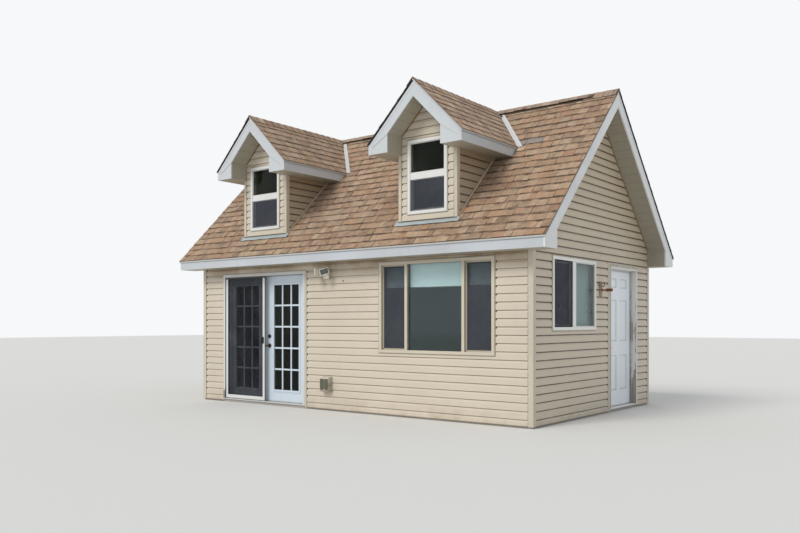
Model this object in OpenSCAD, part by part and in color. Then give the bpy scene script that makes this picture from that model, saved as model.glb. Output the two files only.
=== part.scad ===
// Boathouse: a one-room timber-framed hut with a loft, two gabled dormers,
// a pair of French doors with a sliding screen, and a side door.
// Millimetres. Origin: middle of the plan at ground level. +X runs along the
// front to the right as seen from outside, -Y faces the front, +Z is up.

/* [House] */
// Length of the plan over the siding
plan_len = 6120; // [5600:20:6800]
// Depth of the plan over the siding
plan_dep = 3760; // [3400:20:4200]
// Thickness of the framed walls without their siding
wall_t = 120; // [100:5:160]
// Depth that the siding boards take up outside the wall
clad_t = 16; // [10:1:22]
// Thickness of the floor slab
slab_t = 40; // [30:5:80]
// Height of the level eave soffit over the ground
eave_z = 2135; // [2120:5:2300]

/* [Roof] */
// Level distance from the siding to the face of the eave fascia
eave_over = 250; // [200:10:320]
// Level distance from the siding to the face of the rake board
rake_over = 285; // [220:5:340]
// Height of the eave fascia under the roof deck
fascia_h = 130; // [120:2:160]
// Upright thickness of rafters and deck together
roof_t = 203; // [190:1:230]
// Upright thickness of the roof deck alone
deck_t = 20; // [14:1:24]
// Distance that the deck runs past the fascia and rake boards
drip = 12; // [6:1:16]
// Thickness of fascia and rake boards
board_t = 20; // [16:1:26]
// Upright depth of a rake board under the deck top
rake_drop = 225; // [215:1:245]
// Thickness of the soffit panels
soffit_t = 8; // [5:1:12]
// Level distance from the siding in to the inner side of a boxed return
return_in = 58; // [40:2:90]
// Width of one side of the ridge cap
cap_w = 100; // [80:5:140]
// Upright height of the ridge cap over the deck
cap_h = 26; // [16:1:34]
// Thickness of the loft floor
loft_t = 150; // [120:5:180]

/* [Dormers] */
// Centre of the left dormer
dormer_left_x = -1635; // [-1750:5:-1500]
// Centre of the right dormer
dormer_right_x = 1470; // [1350:5:1600]
// Width of a dormer over its corner posts
dormer_w = 950; // [900:10:1050]
// Level distance of the dormer face behind the front siding
dormer_set = 50; // [40:5:120]
// Height of the dormer ridge below the main ridge
dormer_ridge_drop = 8; // [4:1:40]
// Level distance from the dormer side to the face of its eave fascia
dormer_eave = 270; // [230:5:300]
// Level distance from the dormer face to its rake board
dormer_rake = 310; // [260:5:340]
// Thickness of dormer walls without their siding
dormer_wall_t = 90; // [70:5:110]
// Level distance from the dormer side in to its boxed return
dormer_return_in = 50; // [30:5:70]
// Width of a dormer window over its frame
dormer_win_w = 637; // [560:5:660]
// Height of a dormer window over its frame
dormer_win_h = 985; // [900:5:990]
// Height of the foot of a dormer window over the roof at the dormer's face
dormer_win_rise = 127; // [115:2:155]
// Height of the sheet metal apron at a dormer's foot
apron_h = 46; // [30:2:60]
// Distance that the apron runs past the dormer's corner posts
apron_skirt = 40; // [20:5:60]
// Level width of a dormer's valley strip
valley_w = 70; // [50:5:90]
// Upright thickness of a valley strip, folds included
valley_t = 20; // [12:1:26]
// Height of the meeting rail of a dormer window
meet_rail = 84; // [60:2:90]
// Height of the meeting rail's lower edge over the foot of its window
meet_z = 460; // [430:2:480]

/* [Corner posts] */
// Width of each face of a corner post
post_w = 68; // [50:2:80]
// Width of a dormer's corner posts
dormer_post_w = 48; // [36:2:60]

/* [Windows] */
// Middle of the picture window
pic_x = 1613; // [1500:5:1680]
// Width of the picture window
pic_w = 1828; // [1700:5:1900]
// Distance from the eave soffit down to the top of the picture window
pic_drop = 49; // [40:1:100]
// Height of the picture window
pic_h = 1226; // [1100:5:1240]
// Width of each opening side light of the picture window
pic_vent_w = 460; // [400:5:500]
// Middle of the side window
side_win_y = -740; // [-850:5:-700]
// Width of the side window
side_win_w = 1275; // [1150:5:1320]
// Distance from the level of the eave soffit down to the top of the side window
side_win_drop = 36; // [30:1:100]
// Height of the side window
side_win_h = 928; // [880:4:932]
// Face width of a window frame
win_face = 40; // [30:1:50]
// Face width of a sash
sash_face = 32; // [24:1:40]
// Face width of the bead round a light that doesn't open
bead_face = 12; // [8:1:16]
// Width of the side window's middle post
mullion_w = 96; // [70:2:110]
// Distance of that post in front of the middle of the side window
mullion_off = 29; // [0:1:40]
// Distance of the picture window's opening lights back from its face
vent_set = 50; // [30:2:54]
// Depth of a window frame
win_dep = 84; // [70:2:100]
// Distance that a window frame stands out from the siding
win_proud = 8; // [4:1:14]
// Thickness of a glass unit
glass_t = 12; // [6:1:20]

/* [French doors] */
// Middle of the French door unit
french_x = -1635; // [-1700:5:-1560]
// Width of the French door unit over its frame
french_w = 1833; // [1780:5:1860]
// Distance from the eave soffit down to the top of the French door frame
french_drop = 103; // [75:2:145]
// Face width of a door frame
jamb_w = 40; // [34:1:50]
// Thickness of a door leaf
leaf_t = 44; // [38:1:50]
// Face width of the stiles of a French leaf
stile_w = 165; // [130:5:190]
// Height of the bottom rail of a French leaf
french_rail_low = 180; // [150:5:220]
// Height of the top rail of a French leaf
french_rail_top = 140; // [110:5:170]
// Width of a glazing bar
bar_w = 25; // [18:1:32]
// Distance of a glazing bar back from the face of its leaf
bar_set = 5; // [2:1:10]
// Width of the moulding round the lights of a leaf
mould_w = 30; // [20:1:40]
// Distance that the moulding stands out from the leaf
mould_t = 8; // [4:1:12]
// Height of the lever handle and the side door's knob
lever_z = 912; // [860:2:960]
// Height of the deadbolt
bolt_z = 1058; // [1020:2:1100]
// Distance of the handles from the edge of their leaf
backset = 66; // [58:1:74]
// Height of a door sill over the slab
sill_h = 12; // [8:1:20]
// Gap round a moving leaf
leaf_gap = 6; // [5:0.5:8]
// Gap where the two French leaves meet
meet_gap = 9; // [8:0.5:12]
// Distance of a hinge axis past the room side of a leaf
hinge_out = 12; // [8:1:16]

/* [Sliding screen] */
// Width of the sliding screen
screen_w = 901; // [850:1:930]
// Thickness of the sliding screen frame
screen_t = 18; // [14:1:20]
// Width of the screen's stiles
screen_face = 44; // [34:1:60]
// Height of the screen's bottom rail
screen_rail_low = 52; // [40:1:70]
// Height of the screen's top rail
screen_rail_top = 22; // [16:1:50]

/* [Side door] */
// Middle of the side door
side_door_y = 881; // [840:1:920]
// Width of the side door unit over its frame
side_door_w = 1011; // [960:1:1040]
// Distance from the level of the eave soffit down to the top of the side door frame
side_door_drop = 35; // [25:1:60]
// Height of the head of the side door frame
side_head = 60; // [40:2:80]
// Width of the stop strips that the side door closes behind
stop_w = 16; // [10:1:20]
// Depth of the pressed panels of the side door
panel_dep = 7; // [4:1:10]
// Width of the side door's stiles beside its panels
panel_edge = 150; // [120:5:170]
// Width of the middle stile between the panels
panel_mid = 132; // [100:4:160]
// Width of the slope round a raised panel field
panel_slope = 30; // [20:1:40]

/* [Fittings] */
// Distance from the French door frame to the middle of the floodlight
flood_off = 440; // [380:2:500]
// Distance from the eave soffit down to the middle of the floodlight
flood_drop = 178; // [140:2:230]
// Distance from the French door frame to the middle of the socket box
socket_off = 456; // [400:2:520]
// Height of the middle of the socket box
socket_z = 380; // [300:2:420]
// Place of the old lamp bracket along the side wall
bracket_y = 56; // [20:2:120]
// Height of the middle of the old lamp bracket
bracket_z = 1728; // [1650:2:1780]
// Width of a floodlight head
flood_head_w = 134; // [110:2:150]
// Height of a floodlight head
flood_head_h = 92; // [76:2:110]
// Distance of the floodlight heads' faces from the wall
flood_reach = 165; // [140:5:190]
// Distance of each floodlight head from the middle of the fitting
flood_spread = 102; // [90:2:120]
// Length of the old lamp's arm
bracket_arm = 188; // [110:2:200]
// Width of the socket box's mounting block
socket_w = 176; // [140:4:200]
// Height of the socket box's mounting block
socket_h = 216; // [180:4:240]
// Distance that the socket's cover stands out from its block
socket_cover = 74; // [50:2:90]

/* [Hidden] */

$fn = 32;
// Overshoot of a cut past the face that it leaves, and of a fused piece into its neighbour
eps = 1;
// Half sizes of the plan over the siding, and of the framed walls inside it
half_x = plan_len / 2;
half_y = plan_dep / 2;
wall_x = half_x - clad_t;
wall_y = half_y - clad_t;
room_x = wall_x - wall_t;
room_y = wall_y - wall_t;
// Eave and rake planes
eave_y = half_y + eave_over;
rake_x = half_x + rake_over;
// Roof planes slope at 12 in 12: height = ridge - distance from the ridge
ridge_z = eave_z + fascia_h + deck_t + eave_y;
under_z = ridge_z - roof_t;
// Inner side of the boxed returns at the gables
return_y = half_y - return_in;
// Dormer planes
dormer_face_y = -(half_y - dormer_set);
dormer_frame_y = dormer_face_y + clad_t;
dormer_rake_y = dormer_face_y - dormer_rake;
dormer_half = dormer_w / 2;
dormer_frame_half = dormer_half - clad_t;
dormer_span = dormer_half + dormer_eave;
dormer_top_z = ridge_z - dormer_ridge_drop;
dormer_under_z = dormer_top_z - roof_t;
dormer_soffit_z = dormer_top_z - deck_t - dormer_span - fascia_h;
dormer_return_x = dormer_half - dormer_return_in;
dormer_centres = [dormer_left_x, dormer_right_x];
// Where the front wall is split beside the doorway
french_left = french_x - french_w / 2;
french_right = french_x + french_w / 2;
// Heights that follow from the eave soffit and the roof
french_top = eave_z - french_drop;
side_door_top = eave_z - side_door_drop;
pic_z = eave_z - pic_drop - pic_h;
side_win_z = eave_z - side_win_drop - side_win_h;
dormer_win_z = ridge_z + dormer_face_y + dormer_win_rise;
side_door_front = side_door_y - side_door_w / 2;
side_door_rear = side_door_y + side_door_w / 2;
// Leaf planes: nearly flush with the room side of the wall
leaf_in_y = -room_y - 2;
// Door frames stand out a little from the siding
door_face_y = -half_y - 4;
leaf_out_y = leaf_in_y - leaf_t;
leaf_z = slab_t + sill_h + leaf_gap;
french_leaf_top = french_top - jamb_w - leaf_gap;
french_leaf_w = (french_w - 2 * jamb_w - 2 * leaf_gap - meet_gap) / 2;
french_leaf_h = french_leaf_top - leaf_z;
field_w = french_leaf_w - 2 * stile_w;
field_h = french_leaf_h - french_rail_low - french_rail_top;
light_w = (field_w - 2 * bar_w) / 3;
light_h = (field_h - 4 * bar_w) / 5;
side_leaf_w = side_door_w - 2 * jamb_w - 2 * leaf_gap;
side_leaf_h = side_door_top - side_head - leaf_gap - leaf_z;
leaf_left_x = french_left + jamb_w + leaf_gap;
leaf_right_x = french_x + meet_gap / 2;
side_leaf_x = side_door_front + jamb_w + leaf_gap;
// Foot and head of each row of panels of the side door, as shares of its height
panel_rows = [[0.116, 0.372], [0.476, 0.779], [0.868, 0.936]];
// Roses of the handles and the knob
rose_d = 62;
rose_t = 10;
// Hinges: the axis stands past the room side of the leaf, in the middle of the gap
hinge_y = leaf_in_y + hinge_out;
hinge_r = 7;
hinge_h = 34;
hinge_flap = 32;
seat_gap = 0.3;
hinge_left_x = leaf_left_x - leaf_gap / 2;
hinge_right_x = leaf_right_x + french_leaf_w + leaf_gap / 2;
side_hinge_y = side_door_rear - jamb_w - leaf_gap / 2;
hinge_zs = [for (share = [0.12, 0.5, 0.88]) leaf_z + share * french_leaf_h];
// Faces of the windows, and how far their sashes stand back from them
win_face_y = -half_y - win_proud;
sash_t = 28;
sash_front = 10;
sash_back = sash_front + sash_t;
// The side window's middle post
mullion_y0 = side_win_y - mullion_off - mullion_w / 2;
mullion_y1 = mullion_y0 + mullion_w;
sash_glass = (sash_t - glass_t) / 2;
// Apron and cheek strips of the dormers
apron_proud = 6;
strip_h = 22;
strip_proud = 4;
// Sliding screen
screen_x = leaf_left_x + 12;
screen_y = -half_y + 6;
screen_z = leaf_z + 8;
screen_top = french_leaf_top;
mesh_t = 3;
rail_t = 4;
rail_z = slab_t + sill_h + 4;
roller_r = 8;
roller_in = 120;
// Height of the old lamp's arm over the middle of its plate
bracket_rise = -12;
far = 9000;

// Extrude a profile drawn in (Y, Z) along X
module along_x(x0, x1) {
    translate([x0, 0, 0]) rotate([90, 0, 90]) linear_extrude(height = x1 - x0) children();
}

// Extrude a profile drawn in (X, Z) along Y
module along_y(y0, y1) {
    translate([0, y1, 0]) rotate([90, 0, 0]) linear_extrude(height = y1 - y0) children();
}

// Extrude a plan drawn in (X, Y) along Z
module along_z(z0, z1) {
    translate([0, 0, z0]) linear_extrude(height = z1 - z0) children();
}

// Block between two corners
module block(a, b) {
    translate(a) cube(b - a);
}

// Upright frame in the XZ plane, with its face at y0 and reaching back by dep
module ring(x0, x1, z0, z1, y0, dep, face) {
    difference() {
        block([x0, y0, z0], [x1, y0 + dep, z1]);
        block([x0 + face, y0 - eps, z0 + face], [x1 - face, y0 + dep + eps, z1 - face]);
    }
}

// Turn a piece made for the front wall onto the right gable wall:
// X along the wall becomes Y, and the outward face points to +X
module on_right() {
    translate([half_x - half_y, 0, 0]) rotate([0, 0, 90]) children();
}

// Everything under the top of the front roof deck
module under_front_deck() {
    along_x(-far, far) polygon([[0, ridge_z], [0, -far], [-far, -far], [-far, ridge_z - far]]);
}

// House shell
module floor_slab() {
    color([0.62, 0.61, 0.58]) block([-wall_x, -wall_y, 0], [wall_x, wall_y, slab_t]);
}

// Profile of a front or rear wall, its top cut to the slope of the rafters
module long_wall_profile(z0) {
    polygon([[-wall_y, z0], [-room_y, z0], [-room_y, under_z - room_y], [-wall_y, under_z - wall_y]]);
}

module front_wall_left() {
    color([0.83, 0.76, 0.62]) along_x(-wall_x, french_left) long_wall_profile(slab_t);
}

module front_wall_over_doors() {
    color([0.83, 0.76, 0.62]) along_x(french_left, french_right) long_wall_profile(french_top);
}

module front_wall_right() {
    color([0.83, 0.76, 0.62]) difference() {
        along_x(french_right, wall_x) long_wall_profile(slab_t);
        block([pic_x - pic_w / 2, -half_y, pic_z], [pic_x + pic_w / 2, 0, pic_z + pic_h]);
    }
}

module rear_wall() {
    color([0.83, 0.76, 0.62]) mirror([0, 1, 0]) along_x(-wall_x, wall_x) long_wall_profile(slab_t);
}

module right_wall_front() {
    color([0.83, 0.76, 0.62]) difference() {
        block([room_x, -room_y, slab_t], [wall_x, side_door_front, side_door_top]);
        block([0, side_win_y - side_win_w / 2, side_win_z],
              [half_x, side_win_y + side_win_w / 2, side_win_z + side_win_h]);
    }
}

module right_wall_rear() {
    color([0.83, 0.76, 0.62]) block([room_x, side_door_rear, slab_t], [wall_x, room_y, side_door_top]);
}

// Profile of a gable between the long walls, up to the rafters
module gable_profile(z0) {
    polygon([[-room_y, z0], [room_y, z0], [room_y, under_z - room_y], [0, under_z],
             [-room_y, under_z - room_y]]);
}

module right_gable() {
    color([0.83, 0.76, 0.62]) along_x(room_x, wall_x) gable_profile(side_door_top);
}

module left_wall() {
    color([0.83, 0.76, 0.62]) along_x(-wall_x, -room_x) gable_profile(slab_t);
}

// An L-shaped post that wraps a corner of the framed walls
module corner_post(sx, sy) {
    mirror([sx < 0 ? 1 : 0, 0, 0]) mirror([0, sy < 0 ? 1 : 0, 0])
    difference() {
        block([half_x - post_w, half_y - post_w, slab_t / 2], [half_x, half_y, eave_z]);
        block([0, 0, slab_t / 2 - eps], [wall_x, wall_y, eave_z + eps]);
    }
}

// The same at a dormer's front corner, from the apron or the deck to the soffit
module dormer_post(cx, side) {
    difference() {
        translate([cx, 0, 0]) mirror([side, 0, 0]) difference() {
            block([dormer_half - dormer_post_w, dormer_face_y, ridge_z + dormer_face_y],
                  [dormer_half, dormer_frame_y + dormer_post_w, dormer_soffit_z]);
            block([0, dormer_frame_y, eave_z], [dormer_frame_half, 0, ridge_z]);
        }
        apron_solid(cx);
        under_front_deck();
    }
}

module corner_posts() {
    color([0.8, 0.72, 0.57]) {
        for (sx = [-1, 1], sy = [-1, 1]) corner_post(sx, sy);
        for (cx = dormer_centres, side = [0, 1]) dormer_post(cx, side);
    }
}

module loft_floor() {
    color([0.72, 0.6, 0.44]) block([-room_x, -room_y, eave_z + 2 * soffit_t],
                                   [room_x, room_y, eave_z + 2 * soffit_t + loft_t]);
}

// Roof: profile of one slope, drawn for the front, with the rafter tails cut
// level over the soffit
module slope_profile() {
    tail_z = eave_z + soffit_t;
    board_y = eave_y - board_t;
    polygon([[0, ridge_z], [-board_y, ridge_z - board_y], [-board_y, tail_z],
             [tail_z - under_z, tail_z], [0, under_z]]);
}

// The deck alone runs out over the fascia and rake boards
module deck_profile() {
    lip = eave_y + drip;
    polygon([[0, ridge_z], [-lip, ridge_z - lip], [-lip, ridge_z - lip - deck_t], [0, ridge_z - deck_t]]);
}

module slope() {
    along_x(-rake_x + board_t, rake_x - board_t) slope_profile();
    along_x(-rake_x - drip, rake_x + drip) deck_profile();
}

module roof_front() {
    color([0.62, 0.47, 0.36]) difference() {
        slope();
        for (cx = dormer_centres) dormer_well(cx);
    }
}

// The hole in the front slope that joins a dormer to the loft
module dormer_well(cx) {
    half = dormer_frame_half - dormer_wall_t;
    block([cx - half, dormer_frame_y + dormer_wall_t, eave_z],
          [cx + half, -(ridge_z - dormer_under_z + half), ridge_z]);
}

module roof_rear() {
    color([0.62, 0.47, 0.36]) mirror([0, 1, 0]) slope();
}

module cap_solid() {
    along_x(-rake_x - drip, rake_x + drip)
        polygon([[0, ridge_z + cap_h], [cap_w, ridge_z + cap_h - cap_w], [cap_w, ridge_z - cap_w],
                 [0, ridge_z], [-cap_w, ridge_z - cap_w], [-cap_w, ridge_z + cap_h - cap_w]]);
}

module ridge_cap() {
    color([0.55, 0.41, 0.31]) cap_solid();
}

// Fascia profile with its top cut to the deck, drawn for the front
module fascia_profile() {
    polygon([[-eave_y, eave_z], [-eave_y + board_t, eave_z],
             [-eave_y + board_t, ridge_z - deck_t - eave_y + board_t], [-eave_y, ridge_z - deck_t - eave_y]]);
}

module eave_fascias() {
    color([0.93, 0.94, 0.95]) for (side = [0, 1]) mirror([0, side, 0])
        along_x(-rake_x + board_t, rake_x - board_t) fascia_profile();
}

// Half of a rake board with its boxed return: span is the eave half width,
// in the inner side of the return, low the level of the soffit, top the deck
module rake_half(span, in, low, top, drop) {
    polygon([[0, top - deck_t], [span, top - deck_t - span], [span, low], [in, low],
             [in, top - drop - in], [0, top - drop]]);
}

module rake_profile(span, in, low, top, drop) {
    rake_half(span, in, low, top, drop);
    mirror([1, 0]) rake_half(span, in, low, top, drop);
}

module rake_trims() {
    color([0.93, 0.94, 0.95]) for (side = [0, 1]) mirror([side, 0, 0])
        along_x(rake_x - board_t, rake_x) rake_profile(eave_y, return_y, eave_z, ridge_z, rake_drop);
}

// Soffit sheet of an overhang: level under the eave, up the inner side of
// the boxed return, then up the slope under the rafters
module soffit_half(span, in, low, under) {
    polygon([[span, low], [in, low], [in, under - soffit_t - in], [0, under - soffit_t],
             [0, under], [in + soffit_t, under - in - soffit_t], [in + soffit_t, low + soffit_t],
             [span, low + soffit_t]]);
}

module soffit_profile(span, in, low, under) {
    soffit_half(span, in, low, under);
    mirror([1, 0]) soffit_half(span, in, low, under);
}

module soffits() {
    color([0.86, 0.85, 0.8]) {
        for (side = [0, 1]) mirror([side, 0, 0])
            along_x(wall_x, rake_x - board_t)
                soffit_profile(eave_y - board_t, return_y, eave_z, under_z);
        for (side = [0, 1]) mirror([0, side, 0])
            block([-wall_x, -eave_y + board_t, eave_z], [wall_x, -wall_y, eave_z + soffit_t]);
    }
}

// Dormers, each drawn about its own centre
module dormer_front(cx) {
    half = dormer_frame_half;
    foot = ridge_z + dormer_frame_y - 10;
    difference() {
        translate([cx, 0, 0]) along_y(dormer_frame_y, dormer_frame_y + dormer_wall_t)
            polygon([[-half, foot], [half, foot], [half, dormer_under_z - half],
                     [0, dormer_under_z], [-half, dormer_under_z - half]]);
        under_front_deck();
        block([cx - dormer_win_w / 2, -eave_y, dormer_win_z],
              [cx + dormer_win_w / 2, 0, dormer_win_z + dormer_win_h]);
    }
}

module dormer_cheek(cx, side) {
    out = dormer_frame_half;
    in = out - dormer_wall_t;
    difference() {
        translate([cx, 0, 0]) mirror([side, 0, 0]) along_y(dormer_frame_y + dormer_wall_t, 0)
            polygon([[in, eave_z], [out, eave_z], [out, dormer_under_z - out], [in, dormer_under_z - in]]);
        under_front_deck();
    }
}

module dormer_cheeks(cx) {
    for (side = [0, 1]) dormer_cheek(cx, side);
}

module dormer_slope_profile() {
    board_x = dormer_span - board_t;
    tail_z = dormer_soffit_z + soffit_t;
    polygon([[0, dormer_top_z], [board_x, dormer_top_z - board_x], [board_x, tail_z],
             [dormer_under_z - tail_z, tail_z], [0, dormer_under_z]]);
}

module dormer_deck_profile() {
    lip = dormer_span + drip;
    polygon([[0, dormer_top_z], [lip, dormer_top_z - lip], [lip, dormer_top_z - lip - deck_t],
             [0, dormer_top_z - deck_t]]);
}

module dormer_roof(cx) {
    difference() {
        translate([cx, 0, 0]) for (side = [0, 1]) mirror([side, 0, 0]) {
            along_y(dormer_rake_y + board_t, 0) dormer_slope_profile();
            along_y(dormer_rake_y - drip, 0) dormer_deck_profile();
        }
        under_front_deck();
        cap_solid();
    }
}

// Rake boards, boxed returns and the two level eave fascias of a dormer
module dormer_trim(cx) {
    fascia_low = dormer_soffit_z;
    difference() {
        translate([cx, 0, 0]) {
            along_y(dormer_rake_y, dormer_rake_y + board_t)
                rake_profile(dormer_span, dormer_return_x, dormer_soffit_z, dormer_top_z, rake_drop);
            for (side = [0, 1]) mirror([side, 0, 0]) along_y(dormer_rake_y, 0)
                polygon([[dormer_span - board_t, fascia_low], [dormer_span, fascia_low],
                         [dormer_span, dormer_top_z - deck_t - dormer_span],
                         [dormer_span - board_t, dormer_top_z - deck_t - dormer_span + board_t]]);
        }
        under_front_deck();
    }
}

module dormer_soffit(cx) {
    span = dormer_span - board_t;
    difference() {
        translate([cx, 0, 0]) {
            along_y(dormer_rake_y + board_t, dormer_frame_y)
                soffit_profile(span, dormer_return_x, dormer_soffit_z, dormer_under_z);
            for (side = [0, 1]) mirror([side, 0, 0]) along_y(dormer_frame_y, 0)
                translate([dormer_frame_half, dormer_soffit_z]) square([span - dormer_frame_half, soffit_t]);
        }
        under_front_deck();
    }
}

module dormer_soffits() {
    color([0.86, 0.85, 0.8]) for (cx = dormer_centres) dormer_soffit(cx);
}

module left_dormer_front() { color([0.83, 0.76, 0.62]) dormer_front(dormer_left_x); }
module right_dormer_front() { color([0.83, 0.76, 0.62]) dormer_front(dormer_right_x); }
module left_dormer_cheeks() { color([0.83, 0.76, 0.62]) dormer_cheeks(dormer_left_x); }
module right_dormer_cheeks() { color([0.83, 0.76, 0.62]) dormer_cheeks(dormer_right_x); }
module left_dormer_roof() { color([0.62, 0.47, 0.36]) dormer_roof(dormer_left_x); }
module right_dormer_roof() { color([0.62, 0.47, 0.36]) dormer_roof(dormer_right_x); }
module left_dormer_trim() { color([0.93, 0.94, 0.95]) dormer_trim(dormer_left_x); }
module right_dormer_trim() { color([0.93, 0.94, 0.95]) dormer_trim(dormer_right_x); }

// Sheet metal apron at the foot of a dormer face, lying on the deck
module apron_solid(cx) {
    front = dormer_face_y - apron_proud;
    difference() {
        along_y(front, dormer_frame_y)
            translate([cx - dormer_half - apron_skirt, ridge_z + front - deck_t])
                square([dormer_w + 2 * apron_skirt, apron_h + deck_t]);
        under_front_deck();
    }
}

// Strip along the foot of a cheek, on the deck, from the post up to the soffit
module cheek_strip(cx, side) {
    back_y = dormer_soffit_z - ridge_z;
    front_y = dormer_frame_y + dormer_post_w;
    translate([cx, 0, 0]) mirror([side, 0, 0]) along_x(dormer_frame_half, dormer_half + strip_proud)
        polygon([[front_y, ridge_z + front_y], [back_y, ridge_z + back_y],
                 [back_y - strip_h, ridge_z + back_y], [front_y, ridge_z + front_y + strip_h]]);
}

// Folded strip beside a valley, lying on the main deck from the ridge cap to
// the dormer's eave, with a raised fold along its middle
module valley_strip(cx, side) {
    near = dormer_ridge_drop;
    end = dormer_span + drip;
    fold = valley_w / 6;
    difference() {
        translate([cx, 0, 0]) mirror([side, 0, 0]) {
            valley_layer(near, end, 0, valley_w, valley_t * 0.7);
            valley_layer(near, end, valley_w / 2 - fold, valley_w / 2 + fold, valley_t);
        }
        cap_solid();
    }
}

// A layer on the main deck between two lines beside the valley
module valley_layer(near, end, from, to, high) {
    intersection() {
        linear_extrude(height = ridge_z + high)
            polygon([[from, -near], [end + from, -near - end], [end + to, -near - end], [to, -near]]);
        along_x(0, far)
            polygon([[0, ridge_z], [0, ridge_z + high], [-far, ridge_z + high - far], [-far, ridge_z - far]]);
    }
}

module dormer_flashings() {
    color([0.66, 0.72, 0.76]) for (cx = dormer_centres) {
        apron_solid(cx);
        for (side = [0, 1]) {
            cheek_strip(cx, side);
            valley_strip(cx, side);
        }
    }
}

// Windows. A frame with a face ring and, set back, the sashes
module window_frame(x0, x1, z0, z1, y0) {
    ring(x0, x1, z0, z1, y0, win_dep, win_face);
}

module sash(x0, x1, z0, z1, y0) {
    ring(x0, x1, z0, z1, y0, sash_t, sash_face);
}

// Bead that holds the glass of a light which doesn't open
module bead(x0, x1, z0, z1, y0) {
    ring(x0, x1, z0, z1, y0, sash_t, bead_face);
}

module pane(x0, x1, z0, z1, y0) {
    block([x0, y0, z0], [x1, y0 + glass_t, z1]);
}

module picture_window() {
    x0 = pic_x - pic_w / 2;
    x1 = pic_x + pic_w / 2;
    z1 = pic_z + pic_h;
    color([0.85, 0.8, 0.68]) {
        window_frame(x0, x1, pic_z, z1, win_face_y);
        for (mx = [x0 + pic_vent_w, x1 - pic_vent_w])
            block([mx - win_face / 2, win_face_y, pic_z + win_face],
                  [mx + win_face / 2, win_face_y + win_dep, z1 - win_face]);
        for (vx = [x0 + win_face, x1 - pic_vent_w + win_face / 2])
            sash(vx, vx + pic_vent_w - 1.5 * win_face, pic_z + win_face, z1 - win_face,
                 win_face_y + vent_set);
    }
}

module side_window() {
    w0 = side_win_y - side_win_w / 2;
    w1 = side_win_y + side_win_w / 2;
    z1 = side_win_z + side_win_h;
    color([0.92, 0.92, 0.9]) on_right() {
        window_frame(w0, w1, side_win_z, z1, win_face_y);
        block([mullion_y0, win_face_y + sash_front / 2, side_win_z + win_face],
              [mullion_y1, win_face_y + win_dep, z1 - win_face]);
        sash(w0 + win_face, mullion_y0, side_win_z + win_face, z1 - win_face, win_face_y + sash_back);
        bead(mullion_y1, w1 - win_face, side_win_z + win_face, z1 - win_face, win_face_y + sash_front);
    }
}

module dormer_windows() {
    face_y = dormer_face_y - win_proud;
    color([0.93, 0.93, 0.92]) for (cx = dormer_centres) {
        x0 = cx - dormer_win_w / 2;
        x1 = cx + dormer_win_w / 2;
        z1 = dormer_win_z + dormer_win_h;
        rail_low = dormer_win_z + meet_z;
        window_frame(x0, x1, dormer_win_z, z1, face_y);
        block([x0 + win_face, face_y + sash_front / 2, rail_low],
              [x1 - win_face, face_y + sash_back, rail_low + meet_rail]);
        bead(x0 + win_face, x1 - win_face, rail_low + meet_rail, z1 - win_face, face_y + sash_front);
        sash(x0 + win_face, x1 - win_face, dormer_win_z + win_face, rail_low + sash_face, face_y + sash_back);
    }
}

// All the fixed glass of the house
module window_glass() {
    px0 = pic_x - pic_w / 2;
    px1 = pic_x + pic_w / 2;
    pz0 = pic_z + win_face;
    pz1 = pic_z + pic_h - win_face;
    color([0.3, 0.36, 0.4, 0.5]) {
        pane(px0 + pic_vent_w + win_face / 2, px1 - pic_vent_w - win_face / 2, pz0, pz1,
             win_face_y + (win_dep - glass_t) / 2);
        for (vx = [px0 + win_face, px1 - pic_vent_w + win_face / 2])
            pane(vx + sash_face, vx + pic_vent_w - 1.5 * win_face - sash_face,
                 pz0 + sash_face, pz1 - sash_face, win_face_y + vent_set + sash_glass);
        on_right() {
            sz0 = side_win_z + win_face;
            sz1 = side_win_z + side_win_h - win_face;
            w0 = side_win_y - side_win_w / 2 + win_face;
            w1 = side_win_y + side_win_w / 2 - win_face;
            pane(w0 + sash_face, mullion_y0 - sash_face, sz0 + sash_face, sz1 - sash_face,
                 win_face_y + sash_back + sash_glass);
            pane(mullion_y1 + bead_face, w1 - bead_face, sz0 + bead_face, sz1 - bead_face,
                 win_face_y + sash_front + sash_glass);
        }
        for (cx = dormer_centres) {
            in = dormer_win_w / 2 - win_face;
            rail_low = dormer_win_z + meet_z;
            face_y = dormer_face_y - win_proud;
            pane(cx - in + bead_face, cx + in - bead_face, rail_low + meet_rail + bead_face,
                 dormer_win_z + dormer_win_h - win_face - bead_face, face_y + sash_front + sash_glass);
            pane(cx - in + sash_face, cx + in - sash_face, dormer_win_z + win_face + sash_face, rail_low,
                 face_y + sash_back + sash_glass);
        }
    }
}

// Butt hinges. The axis stands at (hinge x, hinge_y); the jamb lies to +X of it
// and the leaf to -X, and mirroring the pair swaps them
module hinge_fixed(zs) {
    for (z = zs, step = [-1, 1]) {
        translate([0, hinge_y, z + step * hinge_h - hinge_h / 2]) cylinder(r = hinge_r, h = hinge_h);
        block([0, -room_y, z + step * hinge_h - hinge_h / 2],
              [hinge_flap, hinge_y, z + step * hinge_h + hinge_h / 2]);
    }
}

module hinge_moving(zs) {
    half = hinge_h / 2 - seat_gap;
    for (z = zs) {
        translate([0, hinge_y, z - half]) cylinder(r = hinge_r, h = 2 * half);
        block([-hinge_flap, leaf_in_y, z - half], [0, hinge_y, z + half]);
    }
}

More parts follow.
